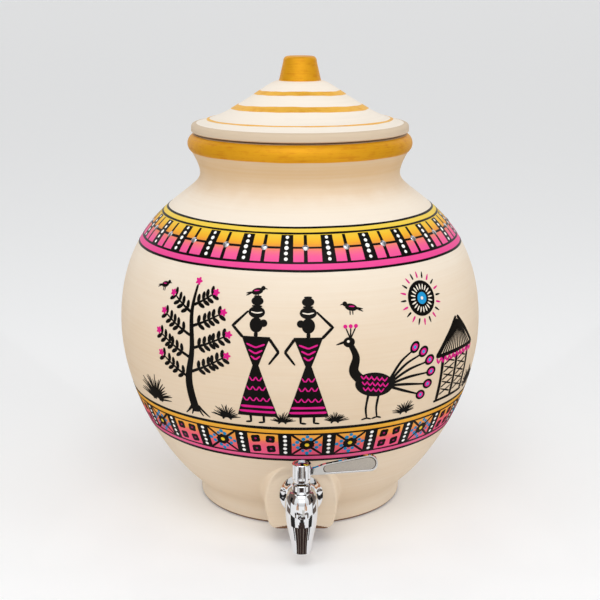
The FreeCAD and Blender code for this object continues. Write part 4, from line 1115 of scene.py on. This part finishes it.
class POT_OT_tap(Operator):
    """Finish the tap: chrome plate outside, turned brass, rubber and steel behind the wall and inside"""
    bl_idname = "object.water_pot_tap"
    bl_label = "Tap finishes"

    def execute(self, context):
        dress(chrome_plate(), "tap_body", "wall_flange", "gland_ring", "lever_handle", "hub_cap")
        # Turned brass painted dark brown as painted shade for the shadowed gap under the lever's hub, with a dull
        # satin from the cutting tool.
        dress(grained("greased_turned_brass", "4E3D24", 1.0, 0.42, 0.9), "valve_plug", "thrust_washer")
        # Zinc plate on steel: pale grey, dull, a little blue, its crystals drawn coarse enough to show.
        dress(
            grained("zinc_plated_steel", "AEB2B7", 1.0, 0.38, 1.2),
            "lock_nut", "backing_washer", "stop_pin", "spring_washer", "handle_screw")
        # Moulded nitrile rubber: black, matt, faintly grey at a glance.
        dress(
            grained("moulded_nitrile_rubber", "1E1E20", 0.0, 0.7, 0.6),
            "outer_seal_washer", "inner_seal_washer", "plug_o_ring_lower", "plug_o_ring_upper")
        # Skived PTFE: milky white, waxy, soft-edged in its sheen.
        dress(grained("skived_ptfe", "EFEFEA", 0.0, 0.4, 0.8), "port_seat")
        self.panel(context.scene.tap_sizes)
        return {"FINISHED"}

    def panel(self, size):
        """A satin inlay in the lever's sunk panel: two round ends of different size joined by straight sides."""
        waist = np.array((size.panel_waist, size.panel_waist_height))
        tip = np.array((size.panel_tip, size.panel_tip_height))
        small, large = size.panel_waist_radius, size.panel_tip_radius
        lean = math.atan2(*(tip - waist)[::-1])
        spread = math.asin((large - small) / np.linalg.norm(tip - waist))
        quarter = math.pi / 2
        edge = np.vstack([
            centre + radius * np.stack([np.cos(lean + turn), np.sin(lean + turn)], axis=1)
            for centre, radius, turn in (
                (tip, large, np.linspace(-quarter - spread, quarter + spread, 24)),
                (waist, small, np.linspace(quarter + spread, 3 * quarter - spread, 24)))])
        # Satin chrome: bead-blasted before plating, so it glows grey with no reflected picture, and has a fine grain.
        satin = grained("satin_chrome_plate", "C9C2B8", 0.75, 0.5, 0.5)
        # Painted shade in the corner of the step: a thin dull brown line standing in for the shadow round the sunk
        # panel.
        step_shade_line = grained("polishing_grime", "5E544C", 0.0, 0.8, 0.4)
        # Rings of points from the middle out to the edge, each by its share of the way along and across the panel.
        # The painted shade lies outside the last but one. One sheet faces out, and one closes the inlay behind.
        shares = np.array([(0.0, 0.0), (0.5, 0.5), (0.96, 0.92), (1.0, 1.0)])
        middle = (waist + tip) / 2
        place = middle + (edge - middle) * np.concatenate([shares, shares[::-1]])[:, None]
        face = np.broadcast_to(
            size.panel_face + np.repeat([-0.05 * MM, 0.05 * MM], len(shares))[:, None], place.shape[:2])
        grid = np.stack([place[..., 0], face, place[..., 1]], axis=-1)
        make_piece(
            "lever_panel_inlay", grid, quads_of(len(grid), len(edge), True), [satin, step_shade_line], "lever",
            np.repeat([0, 0, 1, 1, 1, 0, 0], len(edge)))


# ---------------------------------------------------------------- stage
SPOUT_REACH = 156.4 * MM


def both(start, end, *rest):
    """A flag's row for the span on the right, after the same on the left."""
    return (-end, -start, *rest), (start, end, *rest)


class POT_OT_stage(Operator):
    """Set the stage: a pale floor, soft studio lamps, even light and the camera"""
    bl_idname = "object.water_pot_stage"
    bl_label = "Stage"

    def execute(self, context):
        stage = context.scene.pot_stage
        self.floor(stage)
        self.world(context, stage)
        self.lamp("key_softbox", (-0.05, -0.85, 1.5), (0, 0, 0.16), 1.1, 0.8, stage.key)
        self.lamp("front_softbox", (0.0, -1.5, 0.72), (0, -0.15, 0.06), 1.1, 0.5, stage.front)
        self.lamp("left_strip", (-1.15, -0.55, 0.55), (0, 0, 0.14), 0.35, 1.1, stage.fill)
        self.lamp("right_strip", (1.15, -0.55, 0.55), (0, 0, 0.12), 0.35, 1.1, stage.fill * 1.35)
        self.flags()
        self.camera(context, stage)
        context.scene.view_settings.view_transform = "Standard"
        return {"FINISHED"}

    def floor(self, stage):
        """A wide sheet of matt white board under the pot, faintly cool, a little lifted where it is looked at."""
        reach = 400.0
        mesh = bpy.data.meshes.new("studio_floor")
        mesh.from_pydata(
            [(-reach, -reach, 0.0), (reach, -reach, 0.0), (reach, reach, 0.0), (-reach, reach, 0.0)], [],
            [(0, 1, 2, 3)])
        paint = new_material("matt_white_board")
        lift = add(paint, "Math", {0: seen_directly(paint), 1: stage.lift}, operation="MULTIPLY").outputs[0]
        mesh.materials.append(shade(
            paint, Base_Color=stage.floor, Roughness=0.85, Emission_Color=(1.0, 1.0, 1.0), Emission_Strength=lift))
        board = placed("studio_floor", mesh)

    def flags(self):
        """Studio flags round the tap that only polished metal sees: sheets that paint dark, brown, grey, copper and
        cream reflections into the chrome, so that its curves read as metal.
        """
        black, brown, grey, room, copper, silver, cream = (
            shade(new_material(name), Base_Color=linear(code), Roughness=1.0) for name, code in (
                ("black_flag_cloth", "0C0706"), ("brown_flag_board", "2C1810"), ("grey_flag_board", "857A70"),
                ("dim_room_cloth", "6E6058"), ("copper_flag_board", "B87440"), ("silver_flag_board", "D6D3CD"),
                ("cream_flag_board", "F6DDC4")))
        # Spans in degrees from straight in front of the spout, then nearest and farthest reach in metres.
        low = [
            *both(20, 40, 0.260, 1.500, cream), (-55, 55, 0.010, 0.070, brown), (-25, 25, 0.060, 0.090, brown),
            (-18, 20, 0.085, 0.112, brown), (-11, 15, 0.108, 0.134, black), (-28, 26, 0.134, 0.156, brown),
            (-85, -50, 0.066, 0.130, black), (52, 80, 0.066, 0.130, black), *both(40, 50, 0.155, 0.185, black),
            *both(40, 50, 0.132, 0.155, room), (-38, -24, 0.165, 0.205, brown), (-24, -6, 0.165, 0.205, room),
            (-2, 4, 0.165, 0.205, black), (22, 42, 0.165, 0.205, room), (4, 21, 0.150, 0.290, silver),
            (-28, -24, 0.300, 1.500, black), (24, 27, 0.300, 1.500, black), (-37, -31, 0.250, 1.500, copper),
            (31, 37, 0.250, 1.500, copper), *both(86, 112, 0.205, 1.500, room), *both(112, 150, 0.215, 1.500, grey),
            *both(88, 122, 0.115, 0.163, room), (-70, -61, 0.030, 0.070, black), (60, 69, 0.030, 0.070, black),
            (-91, -86, 0.130, 1.500, black), (84, 89, 0.130, 1.500, black)]
        low += [(start, end, 0.010, 0.062, grey) for start, end in ((-36, -31), (-14, -11), (12, 17), (38, 42))]
        for number, (start, end, near, far, cloth) in enumerate(low):
            rise = (0.5 + 0.1 * number) * MM
            self.flag("table_flag_%d" % number, start, end, (near, rise), (far, rise), cloth)
        # Spans, then foot and top in metres.
        walls = [
            *both(57, 126, 0.0, 1.5, room), *both(27, 33, 0.0, 0.25, copper), *both(23, 26, 0.0, 0.16, black),
            *both(76, 95, 0.05, 0.5, black)]
        for number, (start, end, foot, top, cloth) in enumerate(walls):
            away = 1.05 - 0.01 * number
            self.flag("wall_flag_%d" % number, start, end, (away, foot), (away, top), cloth)
        self.flag("ceiling_flag", -180, 180, (0.02, 1.75), (0.83, 1.75), black)

    def flag(self, name, start, end, near, far, cloth):
        """A sheet between two (reach, height) places from the tap, over a span of degrees from straight in front."""
        turn = np.radians(np.linspace(start, end, 12))
        sheet = turned(np.array([[near[0]], [far[0]]]), (near[1], far[1]), turn)
        sheet[..., 1] -= SPOUT_REACH
        mesh = bpy.data.meshes.new(name)
        mesh.from_pydata(sheet.reshape(-1, 3).tolist(), [], quads_of(2, 12, False).tolist())
        mesh.materials.append(cloth)
        flag = placed(name, mesh)
        for kind in ("camera", "diffuse", "transmission", "volume_scatter", "shadow"):
            setattr(flag, "visible_" + kind, False)

    def world(self, context, stage):
        """Even light all round. Seen directly, it has the far floor's tone at the horizon and turns white above."""
        world = context.scene.world = bpy.data.worlds.new("studio_light")
        world.use_nodes = True
        down = add(world, "SeparateXYZ", {0: add(world, "NewGeometry").outputs["Incoming"]}).outputs["Z"]
        tone = add(world, "MapRange", {
            "Value": down, "From Min": 0.0, "From Max": -0.45, "To Min": stage.horizon, "To Max": 1.0}).outputs[0]
        strength = add(world, "MapRange", {
            "Value": seen_directly(world), "To Min": stage.sky, "To Max": tone}).outputs[0]
        fill(world, world.node_tree.nodes["Background"], {"Color": (1.0, 1.0, 1.0), "Strength": strength})

    def lamp(self, name, place, target, wide, tall, power):
        data = bpy.data.lights.new(name, "AREA")
        data.shape, data.size, data.size_y, data.energy = "RECTANGLE", wide, tall, power
        lamp = placed(name, data)
        lamp.location, lamp.rotation_euler = place, look(place, target)

    def camera(self, context, stage):
        data = bpy.data.cameras.new("camera")
        data.lens = stage.lens
        camera = context.scene.camera = placed("camera", data)
        camera.location = (
            -stage.distance * math.sin(stage.turn), -stage.distance * math.cos(stage.turn), stage.height)
        camera.rotation_euler = (math.pi / 2 - stage.tilt, 0.0, -stage.turn)


def seen_directly(owner):
    """1 for rays from the camera and for those that metal or glass sends on, 0 for light that falls on matt things."""
    rays = add(owner, "LightPath").outputs
    total = rays["Is Camera Ray"]
    for name in ("Is Glossy Ray", "Is Transmission Ray"):
        total = add(owner, "Math", {0: total, 1: rays[name]}, operation="ADD", use_clamp=True).outputs[0]
    return total


def look(place, target):
    """Turn that points an object's -Z from the place to the target, with its Y kept upright."""
    x, y, z = (b - a for a, b in zip(place, target))
    return (math.atan2(math.hypot(x, y), -z), 0.0, math.atan2(x, -y) + math.pi)


# ---------------------------------------------------------------- the add-on
GROUPS = {
    "pot_sizes": PotSizes, "lid_sizes": LidSizes, "band_sizes": BandSizes, "tap_sizes": TapSizes,
    "paint_colours": PaintColours, "pot_stage": StageSettings}
OPERATORS = (POT_OT_body, POT_OT_lid, POT_OT_gold, POT_OT_bands, POT_OT_picture, POT_OT_tap, POT_OT_stage)


class POT_PT_panel(Panel):
    """Lists the pieces and their settings in the sidebar"""
    bl_idname = "POT_PT_panel"
    bl_label = "Clay Water Pot"
    bl_space_type = "VIEW_3D"
    bl_region_type = "UI"
    bl_category = "Water Pot"

    def draw(self, context):
        for name, group in GROUPS.items():
            box = self.layout.box()
            box.label(text=group.__name__)
            for field in group.__annotations__:
                box.prop(getattr(context.scene, name), field)
        for operator in OPERATORS:
            self.layout.operator(operator.bl_idname)


CLASSES = (*GROUPS.values(), *OPERATORS, POT_PT_panel)


def register():
    for item in CLASSES:
        bpy.utils.register_class(item)
    for name, group in GROUPS.items():
        setattr(bpy.types.Scene, name, PointerProperty(type=group))


def unregister():
    for name in GROUPS:
        delattr(bpy.types.Scene, name)
    for item in reversed(CLASSES):
        bpy.utils.unregister_class(item)


def main():
    """Builds every piece in order."""
    register()
    for operator in OPERATORS:
        family, name = operator.bl_idname.split(".")
        getattr(getattr(bpy.ops, family), name)()


if __name__ == "__main__":
    main()
